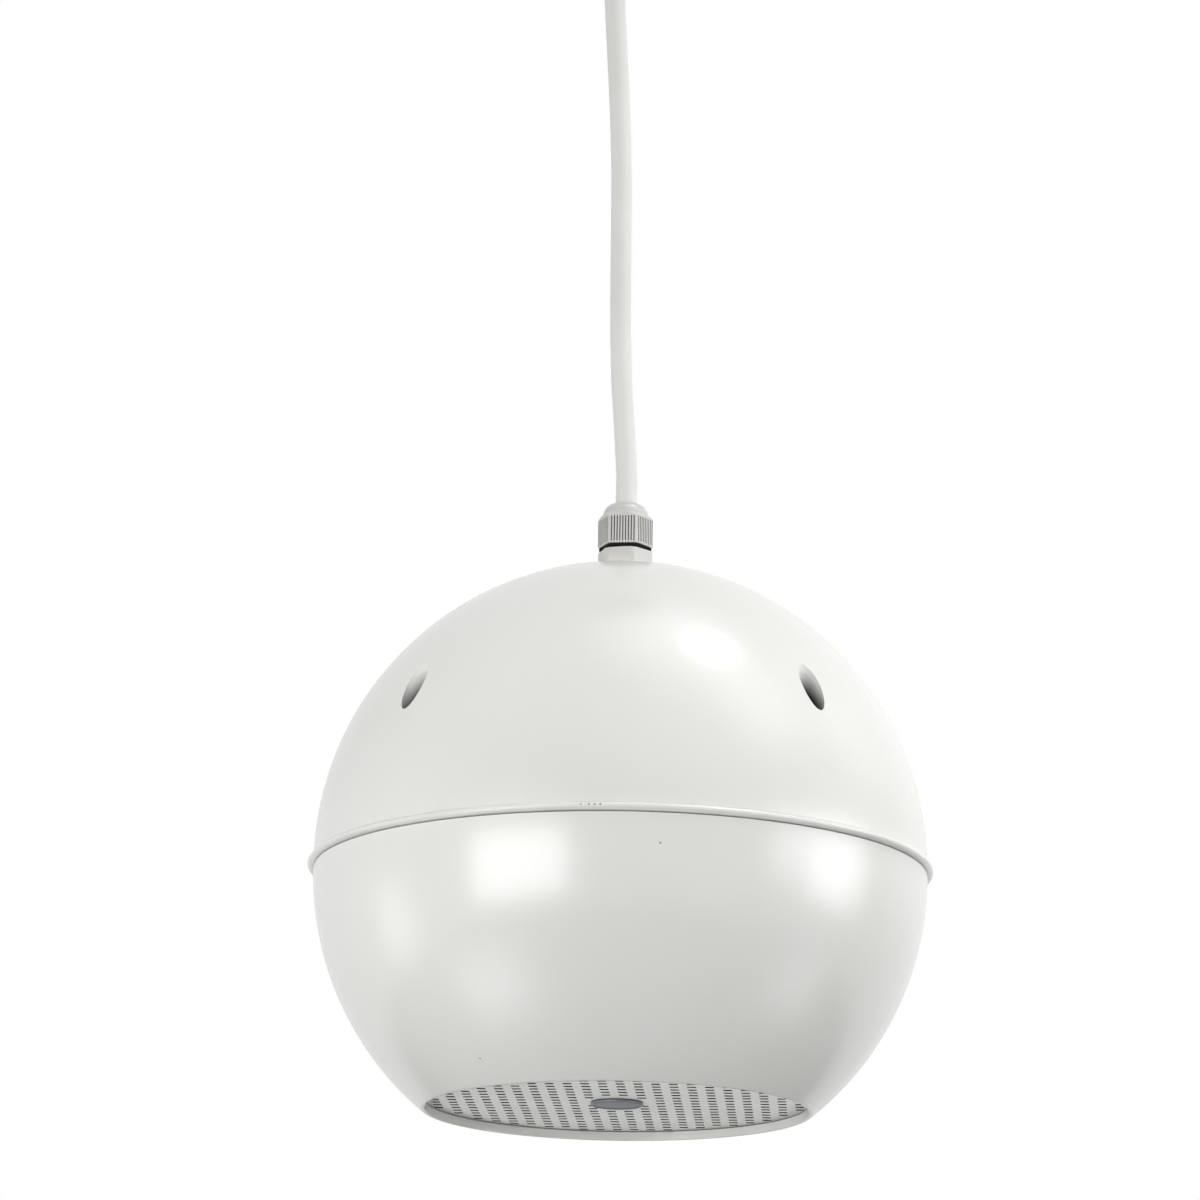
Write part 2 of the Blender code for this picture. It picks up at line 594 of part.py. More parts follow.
def driver_screws():
    mesh = screw_mesh("driver_screw", SMALL_HEAD_R, SMALL_HEAD_H, DRIVER_SCREW_R, DRIVER_SCREW_LONG,
                      HOLE_SIDES, slotted=False)
    seat = FLANGE_THICK + FIT
    for index, (x, y, angle) in enumerate(driver_screw_places(), 1):
        place(f"driver_screw_{index}", mesh, steel(), DRIVER, (x, y, seat), (0, 0, angle))


def magnet_system():
    """Top plate, ring magnet and the yoke with its pole, stacked on the basket's seat."""
    plate_z = BASKET_DEPTH + FIT
    magnet_z = plate_z + PLATE_THICK + FIT
    yoke_z = magnet_z + MAGNET_THICK + FIT
    plate = ring_mesh("top_plate", GAP_R, PLATE_R, plate_z, plate_z + PLATE_THICK, DRIVER_STEPS)
    place("top_plate", plate, steel(), DRIVER)
    magnet = ring_mesh("magnet", MAGNET_HOLE_R, MAGNET_R, magnet_z, magnet_z + MAGNET_THICK, DRIVER_STEPS)
    place("magnet", magnet, look("ferrite", (0.06, 0.06, 0.065), 0.6), DRIVER)
    outline = [(0, plate_z), (POLE_R, plate_z), (POLE_R, yoke_z), (YOKE_R, yoke_z)]
    back = yoke_z + YOKE_THICK
    outline += [(YOKE_R, back - YOKE_BEVEL), (YOKE_R - YOKE_BEVEL, back), (0, back)]
    place("back_yoke", turned("back_yoke", outline, DRIVER_STEPS, closed=False), steel(), DRIVER)


def voice_coil():
    """Former with the winding round its upper end, in the magnet's gap."""
    inner = POLE_R + COIL_GAP
    former = inner + FORMER_SKIN
    winding = former + WINDING_SKIN
    middle = BASKET_DEPTH + FIT + PLATE_THICK / 2
    low = CONE_LIP_H + CONE_DEPTH - FORMER_REACH
    top = middle + WINDING_LONG / 2
    outline = [(inner, low), (former, low), (former, top - WINDING_LONG), (winding, top - WINDING_LONG)]
    outline += [(winding, top), (inner, top)]
    mesh = turned("voice_coil", outline, DRIVER_STEPS)
    place("voice_coil", mesh, look("copper", (0.72, 0.36, 0.20), 0.35, 1.0), CONE)


def neck_radius():
    """Inner radius of what is glued round the coil former."""
    return POLE_R + COIL_GAP + FORMER_SKIN + FIT


def cone():
    """Paper cone with a flat outer lip; it opens downwards."""
    neck, neck_z = neck_radius(), CONE_LIP_H + CONE_DEPTH
    lip_in = CONE_R - CONE_LIP
    outline = [(neck, neck_z), (lip_in, CONE_LIP_H), (CONE_R, CONE_LIP_H), (CONE_R, CONE_LIP_H + CONE_SKIN)]
    outline += [(lip_in + CONE_SKIN / 2, CONE_LIP_H + CONE_SKIN), (neck, neck_z + CONE_SKIN)]
    mesh = turned("cone", outline, DRIVER_STEPS)
    place("cone", mesh, look("cone_paper", (0.05, 0.05, 0.05), 0.85), CONE)


def dust_cap():
    """Domed cap over the coil, in front of the cone."""
    slope = CONE_DEPTH / (CONE_R - CONE_LIP - neck_radius())
    edge_z = CONE_LIP_H + CONE_DEPTH - slope * (CAP_R - neck_radius()) - FIT
    outer = [(CAP_R * index / 3, edge_z - CAP_BULGE * (1 - (index / 3) ** 2)) for index in range(4)]
    inner = [(r, z + CAP_SKIN) for r, z in outer[:3]]
    outline = outer + [(CAP_R - CAP_SKIN, edge_z)] + inner[::-1]
    mesh = turned("dust_cap", outline, DRIVER_STEPS, closed=False)
    place("dust_cap", mesh, look("cone_paper", (0.05, 0.05, 0.05), 0.85), CONE)


def soft_ring(name, inner_r, inner_z, outer_r, outer_z, waves):
    """Thin cloth ring with a flat lip at each edge; its waves fall from one lip to the other."""
    count = 3 * waves
    line = [(inner_r, inner_z)]
    start, end = inner_r + EDGE_LIP, outer_r - EDGE_LIP
    for index in range(count + 1):
        share = index / count
        swell = sin(pi * share) * sin(2 * pi * waves * share) * WAVE_HALF
        line.append((start + (end - start) * share, inner_z + (outer_z - inner_z) * share + swell))
    line.append((outer_r, outer_z))
    outline = line + [(r, z + EDGE_SKIN) for r, z in reversed(line)]
    return turned(name, outline, DRIVER_STEPS)


def surround():
    """Cloth edge from the back of the cone's lip to the front of the flange."""
    inner_z = CONE_LIP_H + CONE_SKIN + FIT
    inner_r = CONE_R - CONE_LIP + CONE_SKIN
    mesh = soft_ring("surround", inner_r, inner_z, GASKET_OUTER_R - EDGE_INSET, -FIT - EDGE_SKIN, 1)
    place("surround", mesh, look("edge_cloth", (0.04, 0.04, 0.04), 0.9), DRIVER)


def spider():
    """Corrugated cloth that centres the coil, glued under the basket's step."""
    outer_z = SPIDER_SEAT_H - BASKET_SKIN - FIT - EDGE_SKIN
    outer_r = SPIDER_SEAT_R - 2 * FIT
    mesh = soft_ring("spider", neck_radius() + FIT / 2, outer_z + SPIDER_RISE, outer_r, outer_z, 2)
    place("spider", mesh, look("spider_cloth", (0.45, 0.30, 0.12), 0.9), DRIVER)


def tag_board():
    """Solder tag board, riveted upright on the flange between two screws."""
    low = FLANGE_THICK + FIT
    board_half, tag_half, tag_side = TAG_BOARD_THICK / 2, TAG_THICK / 2, TAG_WIDE / 2
    board_top = low + TAG_BOARD_HIGH
    board = box_mesh("tag_board", (-board_half, -TAG_APART, low), (board_half, TAG_APART, board_top))
    for middle in (-TAG_APART / 2, TAG_APART / 2):
        tag = box_mesh("tag", (-tag_half, middle - tag_side, low + TAG_BOARD_HIGH / 2),
                       (tag_half, middle + tag_side, low + TAG_HIGH))
        board = combine(board, tag, "UNION")
    spot = (TAG_RING * cos(TAG_ANGLE), TAG_RING * sin(TAG_ANGLE), 0)
    place("tag_board", board, look("tag_board", (0.35, 0.20, 0.09), 0.6), DRIVER, spot, (0, 0, TAG_ANGLE))


def hexagon(name, flats, low, high, turn):
    """Hexagonal prism with a flat towards -Y, before its small turn."""
    return rod_mesh(name, flats / sqrt(3), low, high, 6, phase=turn)


def gland_body():
    """Threaded tail through the shell, hexagon, and the neck that holds the seal."""
    neck_top = SHOULDER_Z - GLAND_NECK_SHORT
    seal_low = NUT_LOW_Z + SEAL_RISE
    outline = rod_outline(GLAND_CORNER_R, HEX_LOW_Z, HEX_TOP_Z)
    hexed = hexagon("hex", GLAND_FLATS, HEX_LOW_Z - CUT, HEX_TOP_Z + CUT, GLAND_TURN)
    collar = combine(turned("collar", outline, GLAND_SIDES, closed=False), hexed, "INTERSECT")
    stem = rod_mesh("stem", GLAND_THREAD_R, PAD_INNER_Z - GLAND_TAIL, neck_top, GLAND_SIDES)
    mesh = combine(collar, stem, "UNION")
    bore = rod_mesh("bore", CORD_R + FIT, PAD_INNER_Z - GLAND_TAIL - CUT, neck_top + CUT, 12)
    mesh = combine(mesh, bore, "DIFFERENCE")
    seat = rod_mesh("seat", CORD_R + FIT + SEAL_WALL + FIT, seal_low, neck_top + CUT, 12)
    mesh = combine(mesh, seat, "DIFFERENCE")
    mesh.name = "gland_body"
    place("gland_body", mesh, look("gland_grey", (0.62, 0.62, 0.60), 0.5), BALL)


def gland_seal():
    low = NUT_LOW_Z + SEAL_RISE + FIT
    high = SHOULDER_Z
    inner = CORD_R + FIT
    mesh = ring_mesh("gland_seal", inner, inner + SEAL_WALL, low, high, 12)
    place("gland_seal", mesh, look("seal_rubber", (0.03, 0.03, 0.03), 0.8), BALL)


def gland_gasket():
    low = PAD_Z + FIT
    high = low + GLAND_GASKET_THICK
    outer = GLAND_FLATS / 2 - GLAND_GASKET_SET
    mesh = ring_mesh("gland_gasket", GLAND_THREAD_R + FIT, outer, low, high, GLAND_SIDES)
    place("gland_gasket", mesh, look("seal_rubber", (0.03, 0.03, 0.03), 0.8), BALL)


def gland_ring():
    """Black sealing ring round the neck, between the body's hexagon and the nut."""
    inner = GLAND_THREAD_R + FIT
    mesh = ring_mesh("gland_ring", inner, GLAND_THREAD_R + RING_OVER_NECK, HEX_TOP_Z + FIT, NUT_LOW_Z - FIT,
                     GLAND_SIDES)
    place("gland_ring", mesh, look("seal_rubber", (0.03, 0.03, 0.03), 0.8), BALL)


def gland_nut():
    """Domed sealing nut: a ribbed hexagon with a chamfered shoulder and a smooth dome round its mouth."""
    mouth_r = CORD_R + FIT + GLAND_MOUTH_FLAT
    dome_r = GLAND_CORNER_R - GLAND_CHAMFER_IN
    dome_z = SHOULDER_Z + GLAND_CHAMFER_H
    arc = [radians(90) * index / 4 for index in range(5)]
    dome = [(mouth_r + (dome_r - mouth_r) * cos(a), dome_z + GLAND_DOME_H * sin(a)) for a in arc]
    outline = [(0, NUT_LOW_Z), (GLAND_CORNER_R - GLAND_BEVEL, NUT_LOW_Z)]
    outline += [(GLAND_CORNER_R, NUT_LOW_Z + GLAND_BEVEL), (GLAND_CORNER_R, SHOULDER_Z)] + dome
    outline += [(0, MOUTH_Z)]
    body = turned("gland_nut", outline, GLAND_SIDES, closed=False)
    mesh = combine(body, hexagon("hex", GLAND_FLATS, NUT_LOW_Z - CUT, MOUTH_Z + CUT, NUT_TURN), "INTERSECT")
    mesh = combine(mesh, joined("grooves", rib_grooves()), "DIFFERENCE")
    thread, bore = GLAND_THREAD_R + FIT, mouth_r - GLAND_MOUTH_FLAT
    inside = [(0, NUT_LOW_Z - CUT), (thread, NUT_LOW_Z - CUT), (thread, SHOULDER_Z)]
    inside += [(bore, SHOULDER_Z + MOUTH_FUNNEL), (bore, MOUTH_Z + CUT), (0, MOUTH_Z + CUT)]
    mesh = combine(mesh, turned("inside", inside, GLAND_SIDES, closed=False), "DIFFERENCE")
    mesh.name = "gland_nut"
    place("gland_nut", mesh, look("gland_grey", (0.62, 0.62, 0.60), 0.5), BALL)


def rib_grooves():
    """Upright grooves between the ribs on each flat of the nut."""
    half = RIB_GROOVE / 2
    face_y = -GLAND_FLATS / 2
    low, high = (-half, face_y - CUT, NUT_LOW_Z - CUT), (half, face_y + RIB_GROOVE, SHOULDER_Z - RIB_END)
    groove = box_mesh("groove", low, high)
    side = GLAND_FLATS / sqrt(3)
    spots = [side * ((index + 0.5) / GLAND_RIBS - 0.5) * RIB_SPAN for index in range(GLAND_RIBS)]
    turns = [Matrix.Rotation(NUT_TURN + pi / 3 * face, 4, "Z") for face in range(6)]
    return [(groove, turn @ Matrix.Translation((spot, 0, 0))) for turn in turns for spot in spots]


def gland_locknut():
    top = PAD_INNER_Z - FIT
    low = top - LOCKNUT_H
    nut = rod_mesh("gland_locknut", LOCKNUT_FLATS / sqrt(3), low, top, 6)
    bore = rod_mesh("bore", GLAND_THREAD_R + FIT, low - CUT, top + CUT, GLAND_SIDES)
    mesh = combine(nut, bore, "DIFFERENCE")
    place("gland_locknut", mesh, look("gland_grey", (0.62, 0.62, 0.60), 0.5), BALL)


def curve_through(points, spacing):
    """Points at an even spacing on a smooth curve through the given ones (Catmull-Rom)."""
    guides = [points[0]] + points + [points[-1]]
    fine = []
    for before, start, end, after in zip(guides, guides[1:], guides[2:], guides[3:]):
        slope, bend = end - before, 2 * before - 5 * start + 4 * end - after
        twist = 3 * start - before - 3 * end + after
        for step in range(12):
            t = step / 12
            fine.append(0.5 * (2 * start + slope * t + bend * t ** 2 + twist * t ** 3))
    fine.append(points[-1])
    kept = [fine[0]]
    travelled = 0.0
    for last, point in zip(fine, fine[1:]):
        travelled += (point - last).length
        if travelled >= spacing:
            kept.append(point)
            travelled = 0.0
    if (kept[-1] - fine[-1]).length < spacing / 3:
        kept.pop()
    return kept + [fine[-1]]


def flexible(name, points, radius, spacing, material, parent, rings):
    """A cord or wire: a round curve with closed ends, turned into its mesh."""
    curve = bpy.data.curves.new(name, "CURVE")
    curve.dimensions = "3D"
    curve.bevel_depth = radius
    curve.bevel_resolution = rings
    curve.render_resolution_u = 0
    curve.use_fill_caps = True
    route = curve_through([Vector(point) for point in points], spacing)
    spline = curve.splines.new("POLY")
    spline.points.add(len(route) - 1)
    for slot, point in zip(spline.points, route):
        slot.co = (*point, 1.0)
    curve.materials.append(material)
    piece = bpy.data.objects.new(name, curve)
    bpy.context.collection.objects.link(piece)
    piece.parent = parent
    return piece


def cord():
    points = [(x * cos(VIEW_TURN), x * sin(VIEW_TURN), MOUTH_Z + z) for x, z in CORD_ROUTE]
    flexible("cord", points, CORD_R, 5 * CORD_R, look("cord_white", (0.78, 0.77, 0.74), 0.5), BALL, 3)


def transformer():
    """Iron core, bobbin, winding and the strap that holds them under the posts."""
    half_w, half_d = CORE_WIDE / 2, CORE_DEEP / 2
    middle = CORE_MIDDLE_Z
    low = (-half_w, -half_d, CORE_TOP_Z - CORE_HIGH)
    core = box_mesh("transformer_core", low, (half_w, half_d, CORE_TOP_Z))
    window_half = CORE_WINDOW_H / 2
    for side in (-1, 1):
        near, far = side * CORE_LEG / 2, side * (CORE_LEG / 2 + CORE_WINDOW_W)
        window = box_mesh("window", (min(near, far), -half_d - CUT, middle - window_half),
                          (max(near, far), half_d + CUT, middle + window_half))
        core = combine(core, window, "DIFFERENCE")
    place("transformer_core", core, look("core_iron", (0.16, 0.16, 0.17), 0.55, 0.8), BALL)
    bobbin()
    strap(half_w, half_d)
    seat = FOOT_TOP_Z - STRAP - FIT
    screw = screw_mesh("transformer_screw", SMALL_HEAD_R, SMALL_HEAD_H, SCREW_R, POST_SCREW_LONG,
                       HOLE_SIDES, slotted=False)
    for index, (x, y, _) in enumerate(post_places(), 1):
        place(f"transformer_screw_{index}", screw, steel(), BALL, (x, y, seat), (pi, 0, 0))


def frame_mesh(name, inner_x, inner_y, outer_x, outer_y, low, high):
    """A rectangular ring."""
    outer = box_mesh(name, (-outer_x, -outer_y, low), (outer_x, outer_y, high))
    hole = box_mesh("hole", (-inner_x, -inner_y, low - CUT), (inner_x, inner_y, high + CUT))
    return combine(outer, hole, "DIFFERENCE")


def bobbin():
    """Bobbin with its two flanges, the taped winding between them, and the terminal block on top."""
    leg_x, leg_y = CORE_LEG / 2 + FIT, CORE_DEEP / 2 + FIT
    tube_x, tube_y = leg_x + BOBBIN_WALL, leg_y + BOBBIN_WALL
    reach_x = CORE_LEG / 2 + CORE_WINDOW_W - FIT
    reach_y = BOBBIN_REACH
    low, top = BOBBIN_LOW_Z, BOBBIN_TOP_Z
    mesh = frame_mesh("transformer_bobbin", leg_x, leg_y, tube_x, tube_y, low, top)
    for start in (low, top - BOBBIN_WALL):
        flange = frame_mesh("flange", leg_x, leg_y, reach_x, reach_y, start, start + BOBBIN_WALL)
        mesh = combine(mesh, flange, "UNION")
    shelf = box_mesh("shelf", (-BLOCK_WIDE / 2, -reach_y - SHELF_DEEP, top - BOBBIN_WALL * 0.9),
                     (BLOCK_WIDE / 2, -reach_y + BOBBIN_WALL, top - BOBBIN_WALL * 0.1))
    mesh = combine(mesh, shelf, "UNION")
    place("transformer_bobbin", mesh, black_plastic(), BALL)
    wind_x, wind_y = reach_x - FIT, reach_y - BOBBIN_WALL
    winding = frame_mesh("transformer_winding", tube_x + FIT, tube_y + FIT, wind_x, wind_y,
                         low + BOBBIN_WALL + FIT, top - BOBBIN_WALL - FIT)
    place("transformer_winding", winding, look("winding_tape", (0.55, 0.42, 0.10), 0.5), BALL)
    block = block_mesh("terminal_block", BLOCK_WIDE, BLOCK_DEEP, BLOCK_HIGH)
    place("terminal_block", block, black_plastic(), BALL, (0, BLOCK_Y, BLOCK_LOW_Z))


def block_mesh(name, wide, deep, high):
    """Terminal block with a round entry for each wire in its top."""
    mesh = box_mesh(name, (-wide / 2, -deep / 2, 0), (wide / 2, deep / 2, high))
    for side in (-1, 1):
        well = rod_mesh("well", WIRE_R + 3 * FIT, high - WIRE_ENTRY, high + CUT, HOLE_SIDES)
        well.transform(Matrix.Translation((side * wide / 4, 0, 0)))
        mesh = combine(mesh, well, "DIFFERENCE")
    return mesh


def strap(half_w, half_d):
    """Folded steel strap: a foot under each post, down both sides and under the core."""
    foot_top = FOOT_TOP_Z
    inner = half_w + FIT
    outer = inner + STRAP
    low = CORE_TOP_Z - CORE_HIGH - FIT - STRAP
    foot = outer + STRAP_FOOT
    side_profile = [(-foot, foot_top), (-foot, foot_top - STRAP), (-outer, foot_top - STRAP), (-outer, low)]
    side_profile += [(outer, low), (outer, foot_top - STRAP), (foot, foot_top - STRAP), (foot, foot_top)]
    side_profile += [(inner, foot_top), (inner, low + STRAP), (-inner, low + STRAP), (-inner, foot_top)]
    mesh = extruded("transformer_frame", side_profile, -half_d, half_d)
    hole = rod_mesh("hole", SCREW_R + FIT, foot_top - STRAP - CUT, foot_top + CUT, HOLE_SIDES)
    mesh = combine(mesh, joined("holes", at_places(hole, post_places())), "DIFFERENCE")
    place("transformer_frame", mesh, steel(), BALL)


def extruded(name, outline, front, back):
    """An (x, z) outline pulled along Y."""
    bm = bmesh.new()
    face = bm.faces.new([bm.verts.new((x, front, z)) for x, z in outline])
    pulled = bmesh.ops.extrude_face_region(bm, geom=[face])
    moved = [item for item in pulled["geom"] if isinstance(item, bmesh.types.BMVert)]
    bmesh.ops.translate(bm, vec=(0, back - front, 0), verts=moved)
    return to_mesh(name, bm)


def wire_colours():
    return [look("core_brown", (0.20, 0.07, 0.03), 0.5), look("core_blue", (0.04, 0.10, 0.40), 0.5)]


def core_wires():
    """The cord's two cores, from its cut end in the gland's tail down into the terminal block."""
    tail_z = MOUTH_Z + CORD_ROUTE[0][1] - FIT
    block_top = BLOCK_LOW_Z + BLOCK_HIGH
    for index, side in enumerate((-1, 1)):
        x = side * BLOCK_WIDE / 4
        route = [(side * CORE_APART, 0, tail_z), (side * CORE_APART, -1 * MM, tail_z - 6 * MM),
                 (x * 0.7, BLOCK_Y * 0.6, block_top + WIRE_RISE), (x, BLOCK_Y, block_top + 2 * MM),
                 (x, BLOCK_Y, block_top - WIRE_ENTRY + 2 * MM)]
        flexible(f"core_wire_{index + 1}", route, WIRE_R, 4 * MM, wire_colours()[index], BALL, 1)


def speaker_leads():
    """Two leads from under the bobbin's lower flange, past the magnet, to the driver's solder tags."""
    tag_z = FLANGE_Z + FLANGE_THICK + FIT + TAG_HIGH + FIT
    start_y, start_z = BOBBIN_REACH - WIRE_R, BOBBIN_LOW_Z - FIT
    for index, side in enumerate((-1, 1)):
        across = -side * TAG_APART / 2
        end_x = TAG_RING * cos(TAG_ANGLE) - across * sin(TAG_ANGLE)
        end_y = TAG_RING * sin(TAG_ANGLE) + across * cos(TAG_ANGLE)
        route = [(side * 4 * MM, start_y, start_z), (side * 4 * MM, start_y, start_z - 5 * MM),
                 (end_x * 0.35, end_y * 0.6, start_z / 2), (end_x * 0.8, end_y * 0.9, -0.1 * start_z),
                 (end_x, end_y, 0.5 * tag_z), (end_x, end_y, tag_z + WIRE_RISE), (end_x, end_y, tag_z)]
        flexible(f"speaker_lead_{index + 1}", route, WIRE_R, 7 * MM, wire_colours()[index], BALL, 1)


def ceiling_bracket():
    """Folded steel strap on the ceiling: flat plate with a leg at each end."""
    half, thick = BRACKET_HALF, BRACKET_THICK
    outline = [(-half, 0), (-half, -BRACKET_LEG), (-half + thick, -BRACKET_LEG), (-half + thick, -thick)]
    outline += [(half - thick, -thick), (half - thick, -BRACKET_LEG), (half, -BRACKET_LEG), (half, 0)]
    mesh = extruded("ceiling_bracket", outline, -BRACKET_WIDE / 2, BRACKET_WIDE / 2)
    for left, right in BRACKET_SLOTS:
        slot = box_mesh("slot", (left, -BRACKET_SLOT_HALF, -thick - CUT), (right, BRACKET_SLOT_HALF, CUT))
        mesh = combine(mesh, slot, "DIFFERENCE")
    mesh = combine(mesh, cup_screw_rod(BRACKET_HALF - 2 * thick, SCREW_R + FIT), "DIFFERENCE")
    place("ceiling_bracket", mesh, steel())


def cup_screw_rod(inner, radius):
    """A rod along X on each side at the cup screws' height."""
    rod = rod_mesh("rod", radius, inner, CUP_R + CUT, HOLE_SIDES)
    lay = Matrix.Translation((0, 0, -CUP_SCREW_DROP)) @ Matrix.Rotation(pi / 2, 4, "Y")
    turn = Matrix.Rotation(pi, 4, "Z")
    return joined("rods", [(rod, lay), (rod, turn @ lay)])


def cup_outline(inset):
    """Side, rounded shoulder and floor of the cup, from the rim to the middle."""
    radius, depth = CUP_R - inset, CUP_DEPTH - inset
    bend = CUP_SHOULDER - inset
    angles = [radians(90) * index / 4 for index in range(5)]
    corner = [(radius - bend + bend * cos(a), -depth + bend - bend * sin(a)) for a in angles]
    return [(radius, -CUP_RIM_GAP)] + corner + [(GRIP_STEM_R + FIT, -depth)]


def ceiling_cup():
    """Turned plastic cup that covers the connections, open at the ceiling."""
    outline = cup_outline(0) + cup_outline(CUP_WALL)[::-1]
    mesh = turned("ceiling_cup", outline, CUP_STEPS)
    mesh = combine(mesh, cup_screw_rod(CUP_R - 3 * CUP_WALL, SCREW_R + FIT), "DIFFERENCE")
    place("ceiling_cup", mesh, look("cup_white", (0.80, 0.80, 0.77), 0.35))


def cup_screws():
    """Two small screws from the side through the cup into the bracket's legs."""
    mesh = screw_mesh("cup_screw", SMALL_HEAD_R, SMALL_HEAD_H, SCREW_R, CUP_SCREW_LONG, HOLE_SIDES,
                      slotted=False)
    for index, side in enumerate((-1, 1), 1):
        spot = (side * (CUP_R + FIT), 0, -CUP_SCREW_DROP)
        place(f"cup_screw_{index}", mesh, steel(), at=spot, turn=(0, side * pi / 2, 0))


def cord_grip():
    """Threaded bush in the cup's floor, its nut inside and the nylon screw that pinches the cord."""
    bore = CORD_R + FIT
    collar_top = -CUP_DEPTH - FIT
    stem_top = collar_top + GRIP_STEM_H
    outline = [(bore, GRIP_LOW_Z), (GRIP_R - GRIP_BEVEL, GRIP_LOW_Z), (GRIP_R, GRIP_LOW_Z + GRIP_BEVEL)]
    outline += [(GRIP_R, collar_top), (GRIP_STEM_R, collar_top), (GRIP_STEM_R, stem_top), (bore, stem_top)]
    mesh = turned("grip_bush", outline, GLAND_SIDES)
    middle = (GRIP_LOW_Z + collar_top) / 2
    lay = Matrix.Translation((0, 0, middle)) @ Matrix.Rotation(pi / 2, 4, "Y")
    hole = rod_mesh("hole", GRIP_SCREW_R + FIT, bore - CUT, GRIP_R + CUT, HOLE_SIDES)
    hole.transform(lay)
    mesh = combine(mesh, hole, "DIFFERENCE")
    nylon = look("nylon_white", (0.75, 0.75, 0.72), 0.5)
    place("grip_bush", mesh, nylon)
    screw = rod_mesh("grip_screw", GRIP_SCREW_R, bore, GRIP_R + GRIP_SCREW_PROUD, HOLE_SIDES)
    screw.transform(lay)
    place("grip_screw", screw, nylon)
    nut_low = -CUP_DEPTH + CUP_WALL + FIT
    nut = rod_mesh("grip_nut", GRIP_NUT_R, nut_low, nut_low + GRIP_NUT_H, 6)
    nut_bore = rod_mesh("bore", GRIP_STEM_R + FIT, nut_low - CUT, nut_low + GRIP_NUT_H + CUT, GLAND_SIDES)
    place("grip_nut", combine(nut, nut_bore, "DIFFERENCE"), nylon)


def rose_terminal():
    """Terminal block hung under the bracket, and the cord's cores up to it."""
    top = -BRACKET_THICK - FIT
    mesh = block_mesh("rose_terminal_block", ROSE_BLOCK_WIDE, ROSE_BLOCK_DEEP, ROSE_BLOCK_HIGH)
    mesh.transform(Matrix.Rotation(pi, 4, "X"))
    white = look("block_white", (0.7, 0.7, 0.66), 0.5)
    place("rose_terminal_block", mesh, white, at=(ROSE_BLOCK_X, 0, top))
    tail = SEAM_Z + MOUTH_Z + CORD_ROUTE[-1][1] + FIT
    low = top - ROSE_BLOCK_HIGH
    for index, side in enumerate((-1, 1)):
        x = ROSE_BLOCK_X + side * ROSE_BLOCK_WIDE / 4
        route = [(0, side * CORE_APART, tail), (1 * MM, side * 2 * MM, tail + 4 * MM),
                 (x * 0.8, side * 2 * MM, low - WIRE_RISE), (x, 0, low - 2.5 * MM),
                 (x, 0, low + WIRE_ENTRY - 2 * MM)]
        flexible(f"rose_wire_{index + 1}", route, WIRE_R, 4 * MM, wire_colours()[index], None, 1)


clear_scene()
BALL = anchor("ball_anchor", SEAM_Z)
DRIVER = anchor("driver_anchor", FLANGE_Z, BALL)
CONE = anchor("cone_anchor", 0, DRIVER)
upper_shell()
lower_shell()
housing_screws()
grille()
grille_badge()
grille_cloth()
driver_gasket()
basket()
driver_screws()
magnet_system()
voice_coil()
cone()
dust_cap()
surround()
spider()
tag_board()
gland_body()
gland_seal()
gland_gasket()
gland_ring()
gland_nut()
gland_locknut()
cord()
transformer()
core_wires()
speaker_leads()
ceiling_bracket()
ceiling_cup()
cup_screws()
cord_grip()
rose_terminal()
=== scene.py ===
"""Looks of the pendant ball speaker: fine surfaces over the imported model, studio light and camera.

Units are metres, +Z is up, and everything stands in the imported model's own frame.
Heights of the ball's pieces are measured from the middle of its seam.
"""
import json
from math import acos, asin, atan2, cos, hypot, pi, radians, sin, sqrt, tan

import bmesh
import bpy
from mathutils import Matrix, Vector

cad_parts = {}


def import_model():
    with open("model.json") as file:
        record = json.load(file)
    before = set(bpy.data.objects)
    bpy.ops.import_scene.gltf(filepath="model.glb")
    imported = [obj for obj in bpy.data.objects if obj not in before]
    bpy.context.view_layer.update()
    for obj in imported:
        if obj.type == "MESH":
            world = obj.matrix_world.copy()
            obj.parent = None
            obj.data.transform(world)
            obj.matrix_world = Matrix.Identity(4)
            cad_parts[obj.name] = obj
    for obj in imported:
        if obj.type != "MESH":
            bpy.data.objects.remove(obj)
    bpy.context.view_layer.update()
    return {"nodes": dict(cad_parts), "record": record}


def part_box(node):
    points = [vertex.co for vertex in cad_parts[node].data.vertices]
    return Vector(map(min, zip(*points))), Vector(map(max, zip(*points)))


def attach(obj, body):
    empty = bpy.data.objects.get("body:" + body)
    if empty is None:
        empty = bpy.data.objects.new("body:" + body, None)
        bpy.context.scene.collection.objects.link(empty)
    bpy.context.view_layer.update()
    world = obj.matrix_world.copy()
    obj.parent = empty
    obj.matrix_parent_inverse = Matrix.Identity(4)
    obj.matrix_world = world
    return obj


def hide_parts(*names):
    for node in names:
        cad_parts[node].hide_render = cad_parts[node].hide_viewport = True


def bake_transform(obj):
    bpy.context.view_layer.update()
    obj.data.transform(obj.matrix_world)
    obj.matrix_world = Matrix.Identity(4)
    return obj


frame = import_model()

MM = 0.001
FIT = 0.3 * MM                # gap between pieces that touch
CUT = 1.0 * MM                # how far a cutter runs past the face it opens
STEPS = 96                    # sides of a turned piece, apart from the ball, the cup and the screws

